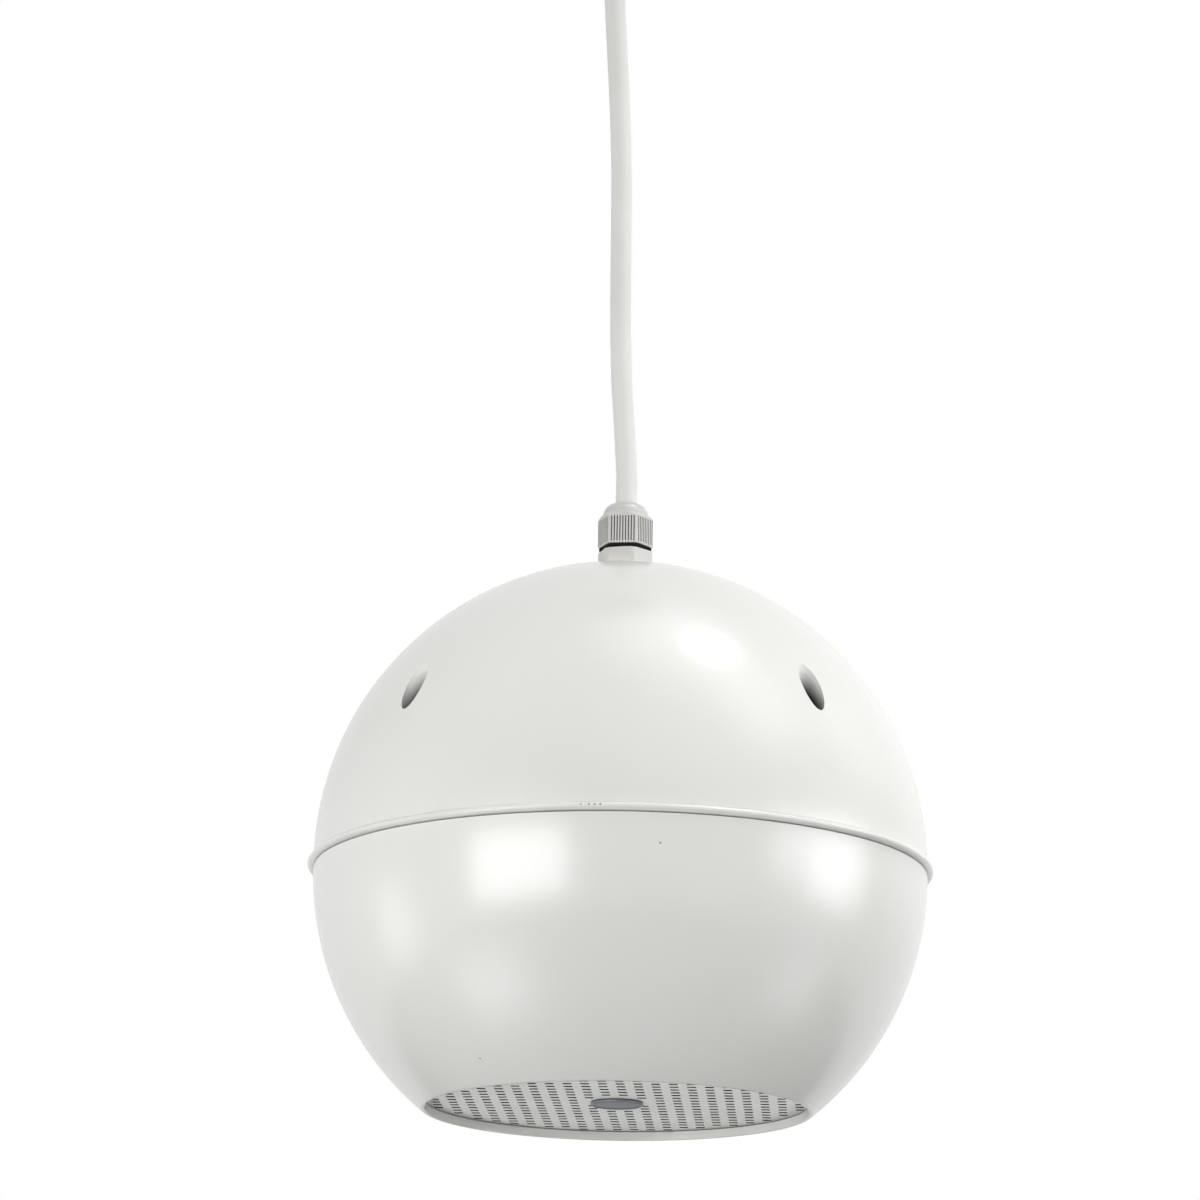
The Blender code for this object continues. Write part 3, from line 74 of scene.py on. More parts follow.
# The ball
BALL_R = 92.0 * MM
WALL = 2.5 * MM
BAND_HALF = 1.3 * MM
BALL_STEPS = 192
BALL_ARC = 64
GLAND_HOLE_R = 6.5 * MM
PAD_R = 11.0 * MM
BEAD_DROP = 0.3 * MM
BEAD_PROUD = 1.7 * MM
BEAD_HEIGHT = 2.3 * MM
LINE_DEEP = 0.16 * MM         # fine line in the wall along the bead's top
TONGUE_DEPTH = 3.7 * MM
TONGUE_WIDE = 2.7 * MM
RIM_DROP = 72.7 * MM
RIM_ROUND = 0.5 * MM
OPENING_R = 57.0 * MM
LIP_THICK = 2.6 * MM
WELL_COUNT = 4
WELL_RING = 81.5 * MM
WELL_R = 3.85 * MM            # as wide as the photograph shows the mouths
WELL_BOSS_R = 6.2 * MM
WELL_FLOOR = 2.5 * MM
WELL_SIDES = 48
WELL_EDGE = 0.45 * MM         # size of the rounding at a well's mouth
WELL_SHADE_START = 1.0 * MM           # how far below the ball's surface the painted shade in a well begins
WELL_SHADE_FULL = 4.0 * MM          # and how far below it the painted shade is full
PILLAR_R = 4.4 * MM
SEAM_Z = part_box("lower_shell")[0].z + RIM_DROP
BEAD_LOW_Z = BAND_HALF - BEAD_DROP - BEAD_HEIGHT
LIP_TOP_Z = -RIM_DROP + LIP_THICK
PAD_Z = BAND_HALF + sqrt(BALL_R ** 2 - PAD_R ** 2)
LOWER_TOP_Z = BEAD_LOW_Z - FIT

# Screws
SCREW_R = 1.5 * MM
SCREW_HEAD_R = 3.5 * MM
SCREW_HEAD_H = 2.4 * MM
SCREW_LONG = 17.0 * MM
SCREW_PITCH = 1.1 * MM
PILOT_SPARE = 2.0 * MM
SMALL_HEAD_R = 2.8 * MM
SMALL_HEAD_H = 2.0 * MM
DRIVER_SCREW_RING = 61.0 * MM
DRIVER_SCREW_R = 1.4 * MM
DRIVER_SCREW_LONG = 5.7 * MM
POST_HALF = 25.0 * MM
POST_R = 4.0 * MM
POST_END = 60.3 * MM
POST_SCREW_LONG = 8.0 * MM

# Grille
GRILLE_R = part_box("grille")[1].x
HOLE_SIDE = 2.6 * MM
HOLE_PITCH = 5.15 * MM
HOLE_EDGE = 0.7 * MM
HOLE_CORNER = 0.5 * MM        # size of the rounding at a hole's corners
HOLE_BEVEL = 0.12 * MM        # drawn-in edge round a hole
BADGE_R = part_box("grille_badge")[1].x
BADGE_FOOT = 2.0 * MM
BADGE_RIM = 0.8 * MM
BADGE_CROWN = 0.15 * MM

# Driver
FLANGE_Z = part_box("basket")[0].z - SEAM_Z
FLANGE_THICK = 1.2 * MM
DRIVER_BOSS_R = 2.6 * MM
GASKET_HOLE_R = 52.5 * MM
BASKET_SKIN = 1.2 * MM
BASKET_HOLE_R = 52.0 * MM
BASKET_TAPER = 0.4 * MM
BASKET_WALL_H = 6.3 * MM
BASKET_SEAT_R = 30.0 * MM
BASKET_SEAT_H = 21.3 * MM
BASKET_STEP = 3.3 * MM
BASKET_BACK_R = 15.2 * MM
WINDOW_HALF = 13.0 * MM
WINDOW_MARGIN = 1.3 * MM
WINDOW_ROUND = 2.5 * MM
MAGNET_HOLE_R = 16.0 * MM
POLE_R = 12.0 * MM
COIL_GAP = 0.4 * MM
FORMER_R = 12.7 * MM
WOUND_H = 7.0 * MM
EDGE_SKIN = 0.5 * MM
EDGE_LIP = 3.2 * MM
EDGE_R = 56.0 * MM
WAVE_HALF = 0.6 * MM
SPIDER_R = 29.4 * MM
SPIDER_RISE = 2.2 * MM
CONE_LIP = 3.0 * MM
CONE_LIP_H = 0.9 * MM
CONE_SKIN = 0.6 * MM

# Gland
GLAND_FLATS = 15.0 * MM
GLAND_CORNER_R = 8.4 * MM
GLAND_THREAD_R = 6.2 * MM
GLAND_HEX_H = 5.0 * MM
GLAND_GAP = 2.0 * MM
GLAND_NUT_H = 8.0 * MM
GLAND_CHAMFER_H = 1.5 * MM
GLAND_CHAMFER_IN = 1.5 * MM
GLAND_MOUTH_FLAT = 0.9 * MM
GLAND_TURN = radians(-10.0)
NUT_TURN = radians(-3.4)
NUT_SKIRT = 0.7 * MM          # how far the nut reaches down round its washer
NUT_ROLL = 0.35 * MM          # size of the rolled edge round the nut's mouth
DOME_FALL = 1.35              # powers that make the nut's dome a little more of a cone
DOME_RISE = 1.1
MOUTH_FUNNEL = 2.2 * MM
GLAND_RIBS = 9
RIB_GROOVE = 0.34 * MM
RIB_SPAN = 0.9
RIB_END = 0.2 * MM
RIB_PITCH = GLAND_FLATS / sqrt(3) * RIB_SPAN / GLAND_RIBS
GROOVE_SEEN = 0.10 * MM       # how deep a groove's faces lie before they count as shaded
RING_FLATS = 14.3 * MM
RING_CORNER = 8.0 * MM
SEAL_WALL = 1.4 * MM
THREAD_PITCH = 1.5 * MM
THREAD_ROOT = 0.93            # radius at the foot of a thread, as a share of its outside
HEX_CORNERS = [radians(degrees) for degrees in (-29.99, -29, -28, -27, -26.5, 26.5, 27, 28, 29)]
HEX_OFFSETS = sorted(HEX_CORNERS + [radians(degrees) for degrees in range(-24, 25, 4)])
MOUTH_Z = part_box("gland_nut")[1].z
NUT_LOW_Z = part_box("gland_nut")[0].z
SHOULDER_Z = NUT_LOW_Z + GLAND_NUT_H

# Ceiling cup and cord grip
CUP_R = 45.0 * MM
CUP_DEPTH = 48.0 * MM
CUP_WALL = 2.0 * MM
CUP_SHOULDER = 22.0 * MM
CUP_RIM_GAP = 0.4 * MM
CUP_STEPS = 160
CUP_SCREW_DROP = 8.0 * MM
CUP_SCREW_LONG = 7.0 * MM
BRACKET_HALF = 41.2 * MM
BRACKET_WIDE = 16.0 * MM
BRACKET_THICK = 1.5 * MM
BRACKET_LEG = 14.0 * MM
BRACKET_SLOTS = ((-26.0 * MM, -14.0 * MM), (30.0 * MM, 35.0 * MM))
BRACKET_SLOT_HALF = 2.2 * MM
GRIP_R = 7.5 * MM
GRIP_STEM_R = 5.0 * MM
GRIP_SCREW_R = 2.0 * MM
GRIP_SLOT_HALF = 0.35 * MM
GRIP_SLOT_DEEP = 1.1 * MM

# Cord and its route: (across the view, height over the gland's mouth), then turned to the view's side
CORD_R = 3.25 * MM
CORD_BORE = CORD_R + FIT
VIEW_TURN = radians(3.0)
CORD_ROUTE = [
    (0.0, -0.0279), (0.0, -0.0209), (0.0, -0.0129), (0.0, -0.0054), (0.0001, 0.0021),
    (0.0001, 0.0101), (-0.0004, 0.0191), (-0.0010, 0.0281), (-0.0017, 0.0376), (-0.0021, 0.0471),
    (-0.0024, 0.0561), (-0.0026, 0.0701), (-0.0027, 0.0881), (-0.0029, 0.1081), (-0.0036, 0.1271),
    (-0.0047, 0.1461), (-0.0058, 0.1651), (-0.0061, 0.1806), (-0.0048, 0.1951), (-0.0025, 0.2071),
    (-0.0008, 0.2171), (0.0, 0.2261), (0.0, 0.2361), (0.0, 0.2471),
]

# Camera: where the seam's middle lies in the photograph, how far off it is and how the camera is held
IMAGE_PX = 1200
FOCAL_PX = 4898.7
SEAM_PX = (620.37, 871.23)
CAMERA_AWAY = 1.472
CAMERA_PITCH = 0.2577
CAMERA_ROLL = 0.0164
SENSOR_MM = 36.0

# Studio: (azimuth, elevation, wide, high, soft edges, radiance) of the lamps, and the world round them
LAMP_AWAY = 1.5
LAMPS = {
    "left_box": (-34, -5, 1.3, 0.9, (0.5, 0.6), 5.9),
    "left_edge": (-90, -12, 0.8, 0.9, (0.9, 0.9), 1.9),
    "left_low": (-60, -42, 1.2, 1.0, (0.9, 0.9), 2.1),
    "right_wide": (81, 3, 1.5, 0.9, (0.35, 0.9), 3.1),
    "right_core": (84, 0, 0.7, 0.75, (0.5, 0.6), 2.6),
    "right_high": (108, 36, 1.0, 1.2, (0.9, 0.9), 0.6),
    "right_up": (70, 45, 1.2, 1.0, (0.9, 0.9), 1.7),
    "right_low": (88, -32, 1.0, 0.9, (0.9, 0.9), 1.7),
    "top_box": (80, 68, 0.36, 0.36, (0.9, 0.9), 24.0),
    "top_wide": (60, 72, 1.6, 1.6, (0.9, 0.9), 1.6),
    "front_high": (10, 40, 1.4, 1.0, (0.9, 0.9), 0.15),
}
GRILLE_LAMP_DROP = 1.2        # how far the spot stands below the grille
GRILLE_LAMP_POWER = 15.0
GRILLE_LAMP_BEAM = 56.0 * MM  # its beam's radius at the grille
WORLD_SLOPE = (0.15, 0.10, 0.10)
WORLD_LEVEL = 0.25
WORLD_MIRRORED = 0.95
FLOOR_Z = -2.0
FLOOR_R = 4.0
FLOOR_SEEN = (0.8, 0.8, 0.8)
FLOOR_BOUNCE = (0.3, 0.3, 0.3)

# The shell's roughness, and its specks: (degrees from the view, height over the seam, size), in millimetres
SHELL_GLOSS = 0.20
SPECKS = [
    (-7.0, 0.1, 0.34), (-5.6, 0.1, 0.45), (-4.6, 0.1, 0.42), (-3.6, 0.1, 0.45), (7.0, -10.3, 0.4),
    (-37.0, -66.0, 0.35),
]


class Graph:
    """A node tree, with the moves that the materials, the lamps and the world share."""

    def __init__(self, owner):
        owner.use_nodes = True
        self.tree = owner.node_tree

    def link(self, value, socket):
        """Puts a number, a colour or another node's output on a socket."""
        if isinstance(value, bpy.types.NodeSocket):
            self.tree.links.new(value, socket)
        else:
            socket.default_value = value

    def add(self, kind, values, **settings):
        """The outputs of a new node with these settings and these values on its inputs."""
        node = self.tree.nodes.new("ShaderNode" + kind)
        for name, value in settings.items():
            setattr(node, name, value)
        for key, value in values.items():
            self.link(value, node.inputs[key])
        return node.outputs

    def math(self, operation, first, second=0.0):
        return self.add("Math", {0: first, 1: second}, operation=operation)[0]

    def vector(self, operation, first, second=(0, 0, 0), output="Vector"):
        return self.add("VectorMath", {0: first, 1: second}, operation=operation)[output]

    def ranged(self, value, low, high, to_low=0.0, to_high=1.0, kind="LINEAR"):
        ends = {"Value": value, "From Min": low, "From Max": high, "To Min": to_low, "To Max": to_high}
        return self.add("MapRange", ends, interpolation_type=kind)["Result"]


class Look(Graph):
    """A Principled material built up from the place of each point on the object."""

    def __init__(self, name, colour, roughness, metallic=0.0):
        self.name = name
        self.made = bpy.data.materials.new(name)
        super().__init__(self.made)
        self.shader = self.tree.nodes["Principled BSDF"]
        self.colour = (*colour, 1.0)
        self.put("Base Color", self.colour)
        self.put("Roughness", roughness)
        self.put("Metallic", metallic)
        self.spot = self.add("TexCoord", {})["Object"]

    def put(self, name, value):
        self.link(value, self.shader.inputs[name])

    def stretched(self, stretch):
        return self.vector("MULTIPLY", self.spot, stretch)

    def noise(self, size, detail=2.0, stretch=(1, 1, 1)):
        """Soft noise from 0 to 1 with lumps of about this size; a stretch under 1 draws them out."""
        values = {"Vector": self.stretched(stretch), "Scale": 1 / size, "Detail": detail}
        return self.add("TexNoise", values)["Fac"]

    def cells(self, size):
        return self.add("TexVoronoi", {"Vector": self.spot, "Scale": 1 / size})["Distance"]

    def distance(self, point, other):
        return self.vector("DISTANCE", point, other, "Value")

    def axis(self, index):
        return self.add("SeparateXYZ", {0: self.spot})[index]

    def reach(self):
        """Distance from the object's upright axis."""
        return self.vector("LENGTH", self.stretched((1, 1, 0)), output="Value")

    def wave(self, along, period):
        """A sine from 0 to 1 over the given length."""
        return self.ranged(self.math("SINE", self.math("MULTIPLY", along, 2 * pi / period)), -1.0, 1.0)

    def dull(self):
        """No shine at all, as of cloth, and for the painted shade on the grille's hole walls."""
        self.put("Specular IOR Level", 0.05)

    def tone(self, factor, colour):
        """Mixes another colour in by a factor from 0 to 1."""
        values = {"Factor": factor, "A": self.colour, "B": (*colour, 1.0)}
        self.colour = self.add("Mix", values, data_type="RGBA")["Result"]
        self.put("Base Color", self.colour)

    def rough(self, factor, low, high):
        self.put("Roughness", self.ranged(factor, 0.25, 0.75, low, high))

    def relief(self, height, deep):
        """Bumps of this depth, on top of the ones already there."""
        values = {"Distance": deep, "Height": height}
        normal = self.shader.inputs["Normal"]
        if normal.is_linked:
            values["Normal"] = normal.links[0].from_socket
        self.put("Normal", self.add("Bump", values)["Normal"])


def darker(colour, share):
    return tuple(part * share for part in colour)


def moulded(name, colour, roughness, grain, deep, mottle=0.92):
    """Even moulded or coated surface: faint clouds in its colour, fine grain in its gloss and height."""
    made = Look(name, colour, roughness)
    made.tone(made.ranged(made.noise(25 * MM, 3.0), 0.35, 0.7), darker(colour, mottle))
    fine = made.noise(grain, 3.0)
    made.rough(fine, roughness * 0.85, min(roughness * 1.15, 1.0))
    made.relief(fine, deep)
    return made


def speck_point(turn, height):
    """A point on the ball's or the bead's outside, by its angle from the view and height over the seam."""
    reach = sqrt(BALL_R ** 2 - max(0.0, abs(height) - BAND_HALF) ** 2)
    if BEAD_LOW_Z < height < BAND_HALF - BEAD_DROP:
        reach += BEAD_PROUD
    angle = VIEW_TURN - pi / 2 + radians(turn)
    return Vector((reach * cos(angle), reach * sin(angle), SEAM_Z + height))


def well_shade_mask(made):
    """Mask of the painted shade inside the screw wells: from 0 at a well's mouth to 1 far down inside it, and
    0 elsewhere.
    """
    quarter = made.vector("ABSOLUTE", made.stretched((1, 1, 0)))
    middle = WELL_RING / sqrt(2)
    off_axis = made.distance(quarter, (middle, middle, 0))
    inside = made.ranged(off_axis, WELL_R + 0.2 * MM, WELL_R + 0.1 * MM)
    reach = made.distance(made.spot, (0, 0, SEAM_Z + BAND_HALF))
    return made.math("MULTIPLY", inside, made.ranged(reach, BALL_R - WELL_SHADE_START, BALL_R - WELL_SHADE_FULL))


def ball_white():
    """Glossy moulded shell: faint orange peel, soft clouds, painted shade down inside the screw wells and the
    few specks that it shows.
    """
    made = Look("ball_white", (0.80, 0.80, 0.775), SHELL_GLOSS)
    made.tone(made.ranged(made.noise(35 * MM, 3.0), 0.35, 0.7), (0.785, 0.785, 0.755))
    made.relief(made.noise(2.5 * MM, 1.0), 3e-6)
    made.relief(made.noise(0.25 * MM, 2.0), 3e-7)
    film = made.ranged(made.noise(6 * MM, 4.0), 0.25, 0.75, SHELL_GLOSS - 0.02, SHELL_GLOSS + 0.03)
    deep = well_shade_mask(made)
    made.put("Roughness", made.math("MAXIMUM", film, deep))
    # painted shade: the wells' insides turn near black with depth
    made.tone(deep, (0.02, 0.02, 0.018))
    for turn, height, size in SPECKS:
        away = made.distance(made.spot, speck_point(turn, height * MM))
        made.tone(made.ranged(away, size * MM, 0.5 * size * MM, 0.0, 0.75), (0.16, 0.14, 0.11))
    return made


def grille_white():
    """Powder coated sheet with a fine pebbled skin."""
    made = moulded("grille_white", (0.82, 0.82, 0.80), 0.42, 0.35 * MM, 8e-6)
    made.relief(made.cells(0.8 * MM), 4e-6)
    return made


def hole_wall_shade():
    """Painted shade on the walls of the punched holes."""
    made = moulded("hole_wall_shade", (0.03, 0.03, 0.028), 0.8, 0.3 * MM, 8e-6)
    made.dull()
    return made


def badge_grey():
    """Satin disc, brushed one way, with a bluish cast."""
    made = Look("badge_grey", (0.27, 0.28, 0.31), 0.42, 0.35)
    lines = made.noise(0.12 * MM, 2.0, (0.01, 1, 1))
    made.tone(made.ranged(lines, 0.3, 0.7, 0.3, 0.7), (0.15, 0.16, 0.19))
    made.rough(lines, 0.40, 0.50)
    made.relief(lines, 1e-6)
    return made


def woven(name, colour, thread, roughness=0.9):
    """Plain weave of round threads, with a little fluff."""
    made = Look(name, colour, roughness)
    over = made.math("MULTIPLY", made.wave(made.axis(0), thread), made.wave(made.axis(1), thread))
    fluff = made.noise(1.2 * MM, 4.0)
    made.tone(over, darker(colour, 1.9))
    made.tone(made.ranged(fluff, 0.35, 0.8, 0.0, 0.5), darker(colour, 0.6))
    made.rough(fluff, roughness - 0.08, min(roughness + 0.06, 1.0))
    made.relief(over, thread / 4)
    made.dull()
    return made


def foam_grey():
    made = moulded("foam_grey", (0.08, 0.08, 0.08), 0.88, 0.6 * MM, 4e-5)
    made.relief(made.cells(0.7 * MM), 2e-4)
    return made


def plated(name, colour, roughness):
    """Plated steel: fine drawn lines and soft spangled clouds."""
    made = Look(name, colour, roughness, 1.0)
    lines = made.noise(0.2 * MM, 3.0, (0.06, 1, 1))
    made.tone(made.ranged(made.cells(2.2 * MM), 0.2, 0.8, 0.0, 0.6), darker(colour, 0.72))
    made.rough(lines, roughness - 0.08, roughness + 0.12)
    made.relief(lines, 2e-6)
    return made


def ferrite():
    """Matt sintered magnet with small paler chips."""
    made = moulded("ferrite", (0.06, 0.06, 0.065), 0.6, 0.5 * MM, 2e-5)
    chips = made.ranged(made.noise(1.6 * MM, 5.0), 0.66, 0.72)
    made.tone(chips, (0.13, 0.13, 0.135))
    made.relief(chips, -6e-5)
    return made


def copper():
    """Paper former with enamelled wire wound round its upper end."""
    made = Look("copper", (0.42, 0.29, 0.16), 0.55)
    _, _, high = span("voice_coil")
    wound = made.ranged(made.axis(2), high - WOUND_H - 0.2 * MM, high - WOUND_H)
    turns = made.wave(made.axis(2), 0.3 * MM)
    made.tone(wound, (0.78, 0.38, 0.2))
    made.tone(made.math("MULTIPLY", wound, made.ranged(turns, 0.0, 0.4, 0.8, 0.0)), (0.25, 0.1, 0.05))
    made.put("Metallic", wound)
    made.rough(made.noise(0.8 * MM, 3.0), 0.32, 0.5)
    made.relief(made.math("MULTIPLY", wound, turns), 6e-5)
    return made


def cone_paper():
    """Black pressed pulp: tangled fibres and fine rings."""
    made = Look("cone_paper", (0.05, 0.05, 0.05), 0.85)
    fibres = made.noise(0.5 * MM, 5.0, (1, 0.35, 1))
    made.tone(made.ranged(fibres, 0.45, 0.8), (0.11, 0.105, 0.1))
    made.rough(fibres, 0.75, 0.95)
    made.relief(fibres, 5e-5)
    made.relief(made.wave(made.reach(), 2.6 * MM), 8e-5)
    return made


def tag_board():
    """Bonded board with tinned tags above it."""
    made = moulded("tag_board", (0.35, 0.20, 0.09), 0.6, 0.4 * MM, 1e-5, mottle=0.7)
    _, _, high = span("tag_board")
    tinned = made.ranged(made.axis(2), high - 3.95 * MM, high - 3.9 * MM)
    made.tone(tinned, (0.6, 0.6, 0.58))
    made.put("Metallic", tinned)
    return made


def gland_grey():
    """Grey nylon with a fine mould grain."""
    made = moulded("gland_grey", (0.60, 0.595, 0.575), 0.33, 0.3 * MM, 6e-6)
    made.relief(made.noise(1.8 * MM, 2.0), 6e-6)
    return made


def seal_rubber():
    made = moulded("seal_rubber", (0.012, 0.012, 0.012), 0.75, 0.25 * MM, 8e-6)
    made.dull()
    return made


def cord_white():
    """Soft sheath: slow waves along it from the twisted cores, and a dull, slightly handled skin."""
    made = moulded("cord_white", (0.76, 0.755, 0.73), 0.38, 0.5 * MM, 6e-6, mottle=0.95)
    made.relief(made.noise(9 * MM, 2.0, (1, 1, 0.6)), 6e-5)
    made.tone(made.ranged(made.noise(14 * MM, 4.0, (1, 1, 0.4)), 0.55, 0.8, 0.0, 0.35), (0.70, 0.69, 0.66))
    return made


def core_iron():
    """Stacked sheets: a dark joint every half millimetre."""
    made = Look("core_iron", (0.19, 0.19, 0.2), 0.5, 0.8)
    joints = made.ranged(made.wave(made.axis(1), 0.5 * MM), 0.0, 0.35, 1.0, 0.0)
    made.tone(joints, (0.04, 0.04, 0.045))
    made.tone(made.ranged(made.noise(4 * MM, 4.0), 0.55, 0.75, 0.0, 0.5), (0.2, 0.13, 0.07))
    made.rough(made.noise(1 * MM, 3.0), 0.4, 0.65)
    made.relief(joints, -6e-5)
    return made


def winding_tape():
    """Yellow tape in overlapping turns, with the wire just showing through."""
    made = Look("winding_tape", (0.55, 0.42, 0.10), 0.35)
    lap = made.wave(made.axis(2), 6.5 * MM)
    made.tone(made.ranged(lap, 0.9, 1.0), (0.36, 0.25, 0.05))
    made.tone(made.math("MULTIPLY", made.wave(made.axis(2), 0.4 * MM), 0.25), (0.5, 0.25, 0.08))
    made.rough(made.noise(3 * MM, 3.0), 0.25, 0.45)
    made.relief(lap, 6e-5)
    return made


def looks():
    """Every material of the record, by its slot."""
    made = [
        ball_white(), grille_white(), badge_grey(), foam_grey(), ferrite(), copper(), cone_paper(),
        tag_board(), gland_grey(), seal_rubber(), cord_white(), core_iron(), winding_tape(),
        plated("zinc_steel", (0.55, 0.55, 0.56), 0.33), plated("basket_steel", (0.30, 0.30, 0.31), 0.4),
        woven("black_cloth", (0.010, 0.010, 0.010), 0.5 * MM),
        woven("edge_cloth", (0.04, 0.04, 0.04), 0.45 * MM, 0.75),
        woven("spider_cloth", (0.45, 0.30, 0.12), 0.6 * MM),
        moulded("black_plastic", (0.03, 0.03, 0.03), 0.45, 0.3 * MM, 8e-6),
        moulded("core_brown", (0.20, 0.07, 0.03), 0.4, 0.4 * MM, 5e-6),
        moulded("core_blue", (0.04, 0.10, 0.40), 0.4, 0.4 * MM, 5e-6),
        moulded("cup_white", (0.80, 0.80, 0.77), 0.3, 1.5 * MM, 4e-6, mottle=0.96),
        moulded("nylon_white", (0.75, 0.75, 0.72), 0.5, 0.4 * MM, 8e-6),
        moulded("block_white", (0.70, 0.70, 0.66), 0.45, 0.4 * MM, 8e-6),
    ]
    return {look.name: look.made for look in made}


def dress_nodes():
    """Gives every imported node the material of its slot."""
    for row in frame["record"]["subparts"]:
        mesh = frame["nodes"][row["node"]].data
        mesh.materials.clear()
        mesh.materials.append(LOOKS[row["material_slot"]])


def shift(x=0.0, y=0.0, z=0.0):
    return Matrix.Translation((x, y, z))


def spin(angle, axis="Z"):
    return Matrix.Rotation(angle, 4, axis)


def round_moves(count, radius, first=0.0):
    """Moves to places evenly round the axis, each turned to face outwards."""
    angles = [first + 2 * pi * index / count for index in range(count)]
    return [shift(radius * cos(angle), radius * sin(angle)) @ spin(angle) for angle in angles]


WELL_MOVES = round_moves(WELL_COUNT, WELL_RING, pi / WELL_COUNT)
DRIVER_MOVES = round_moves(4, DRIVER_SCREW_RING)
POST_MOVES = [shift(side * POST_HALF) for side in (-1, 1)]


def shares(count):
    """From 0 to 1 in this many even steps."""
    return [step / count for step in range(count + 1)]


def bent(start, corner, end):
    """Points of the round that cuts a corner."""
    return [start * (1 - t) ** 2 + corner * 2 * t * (1 - t) + end * t ** 2 for t in shares(5)]


def softened(outline):
    """The outline with each (r, z, size) corner rounded over its size; (r, z) points stay."""
    points = []
    for index, (r, z, *size) in enumerate(outline):
        if not size:
            points.append((r, z))
            continue
        here = Vector((r, z))
        nearby = [Vector(outline[(index + way) % len(outline)][:2]) for way in (-1, 1)]
        start, end = (here + (point - here).normalized() * size[0] for point in nearby)
        points += [tuple(point) for point in bent(start, here, end)]
    return points


def ball_arc(radius, centre_z, start, end, count):
    """Points on a half ball's outline, by angle from the top of the axis."""
    angles = [start + (end - start) * share for share in shares(count)]
    return [(radius * sin(angle), centre_z + radius * cos(angle)) for angle in angles]


def to_mesh(bm, clean=True):
    if clean:
        bmesh.ops.remove_doubles(bm, verts=bm.verts, dist=1e-6)
        bmesh.ops.recalc_face_normals(bm, faces=bm.faces)
    mesh = bpy.data.meshes.new("mesh")
    bm.to_mesh(mesh)
    bm.free()
    return mesh


def turned(outline, steps=STEPS, closed=True):
    """Spins an outline about Z."""
    bm = bmesh.new()
    verts = [bm.verts.new((r, 0, z)) for r, z in softened(outline)]
    ends = verts[1:] + verts[:1] if closed else verts[1:]
    edges = [bm.edges.new(pair) for pair in zip(verts, ends)]
    bmesh.ops.spin(bm, geom=verts + edges, cent=(0, 0, 0), axis=(0, 0, 1), angle=2 * pi, steps=steps,
                   use_merge=True, use_duplicate=False)
    return to_mesh(bm)


def rod(radius, low, high):
    return turned([(0, low), (radius, low), (radius, high), (0, high)], 32, closed=False)


def prism(outline, low, high):
    """An (x, y) outline pulled up along Z."""
    bm = bmesh.new()
    face = bm.faces.new([bm.verts.new((x, y, low)) for x, y in softened(outline)])
    pulled = bmesh.ops.extrude_face_region(bm, geom=[face])
    moved = [item for item in pulled["geom"] if isinstance(item, bmesh.types.BMVert)]
    bmesh.ops.translate(bm, vec=(0, 0, high - low), verts=moved)
    return to_mesh(bm)


def ringed(angles, rings):
    """A body with a bore, from rings up its outside and down its bore.

    A ring is its height and its radius, which is a number or a function of the angle.
    """
    bm = bmesh.new()
    grid = []
    for z, radius in rings:
        reaches = [radius(angle) if callable(radius) else radius for angle in angles]
        grid.append([bm.verts.new((r * cos(a), r * sin(a), z)) for r, a in zip(reaches, angles)])
    for lower, upper in zip(grid, grid[1:] + grid[:1]):
        for index in range(len(angles)):
            after = (index + 1) % len(angles)
            bm.faces.new((lower[index], lower[after], upper[after], upper[index]))
    return to_mesh(bm)


def lofted(columns):
    """A closed body from upright columns of points that go round an axis."""
    bm = bmesh.new()
    grid = [[bm.verts.new(point) for point in column] for column in columns]
    pairs = list(zip(grid, grid[1:] + grid[:1]))
    for here, there in pairs:
        for low in range(len(here) - 1):
            bm.faces.new((here[low], there[low], there[low + 1], here[low + 1]))
    for end in (0, -1):
        middle = bm.verts.new(sum((column[end] for column in columns), Vector()) / len(columns))
        for here, there in pairs:
            bm.faces.new((here[end], there[end], middle))
    return to_mesh(bm)


def joined(meshes_at):
    """One mesh out of several (mesh, matrix) pairs."""
    bm = bmesh.new()
    for mesh, matrix in meshes_at:
        first = len(bm.verts)
        bm.from_mesh(mesh)
        bm.verts.ensure_lookup_table()
        bmesh.ops.transform(bm, matrix=matrix, verts=bm.verts[first:])
    return to_mesh(bm, clean=False)


def at(mesh, moves):
    return [(mesh, move) for move in moves]


def placed(name, data):
    """A new object in the scene."""
    piece = bpy.data.objects.new(name, data)
    bpy.context.collection.objects.link(piece)
    return piece


def combine(mesh, tool, operation="DIFFERENCE"):
    """The mesh after a Boolean with the tool mesh."""
    base, other = placed("base", mesh), placed("tool", tool)
    step = base.modifiers.new("combine", "BOOLEAN")
    step.operation = operation
    step.solver = "EXACT"
    step.object = other
    bpy.context.view_layer.update()
    result = bpy.data.meshes.new_from_object(base.evaluated_get(bpy.context.evaluated_depsgraph_get()))
    for each in (base, other):
        bpy.data.objects.remove(each, do_unlink=True)
    return result


def show(name, mesh, slot, node, body="housing", lift=0.0, sharp=35):
    """Puts a mesh in the scene on its body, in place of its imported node."""
    mesh.name = name
    mesh.transform(shift(z=lift))
    mesh.materials.clear()
    mesh.materials.append(LOOKS[slot])
    mesh.shade_smooth()
    mesh.set_sharp_from_angle(angle=radians(sharp))
    piece = placed(name, mesh)
    if body:
        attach(piece, body)
    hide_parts(node)
    return piece


def span(node):
    """Outer radius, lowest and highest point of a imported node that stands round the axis."""
    low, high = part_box(node)
    return high.x, low.z, high.z


def ring(name, slot, node, inner, edge):
    """A ring with eased edges in place of a packed one."""
    outer, low, high = span(node)
    corners = [(inner, low, edge), (outer, low, edge), (outer, high, edge), (inner, high, edge)]
    show(name, turned(corners), slot, node)


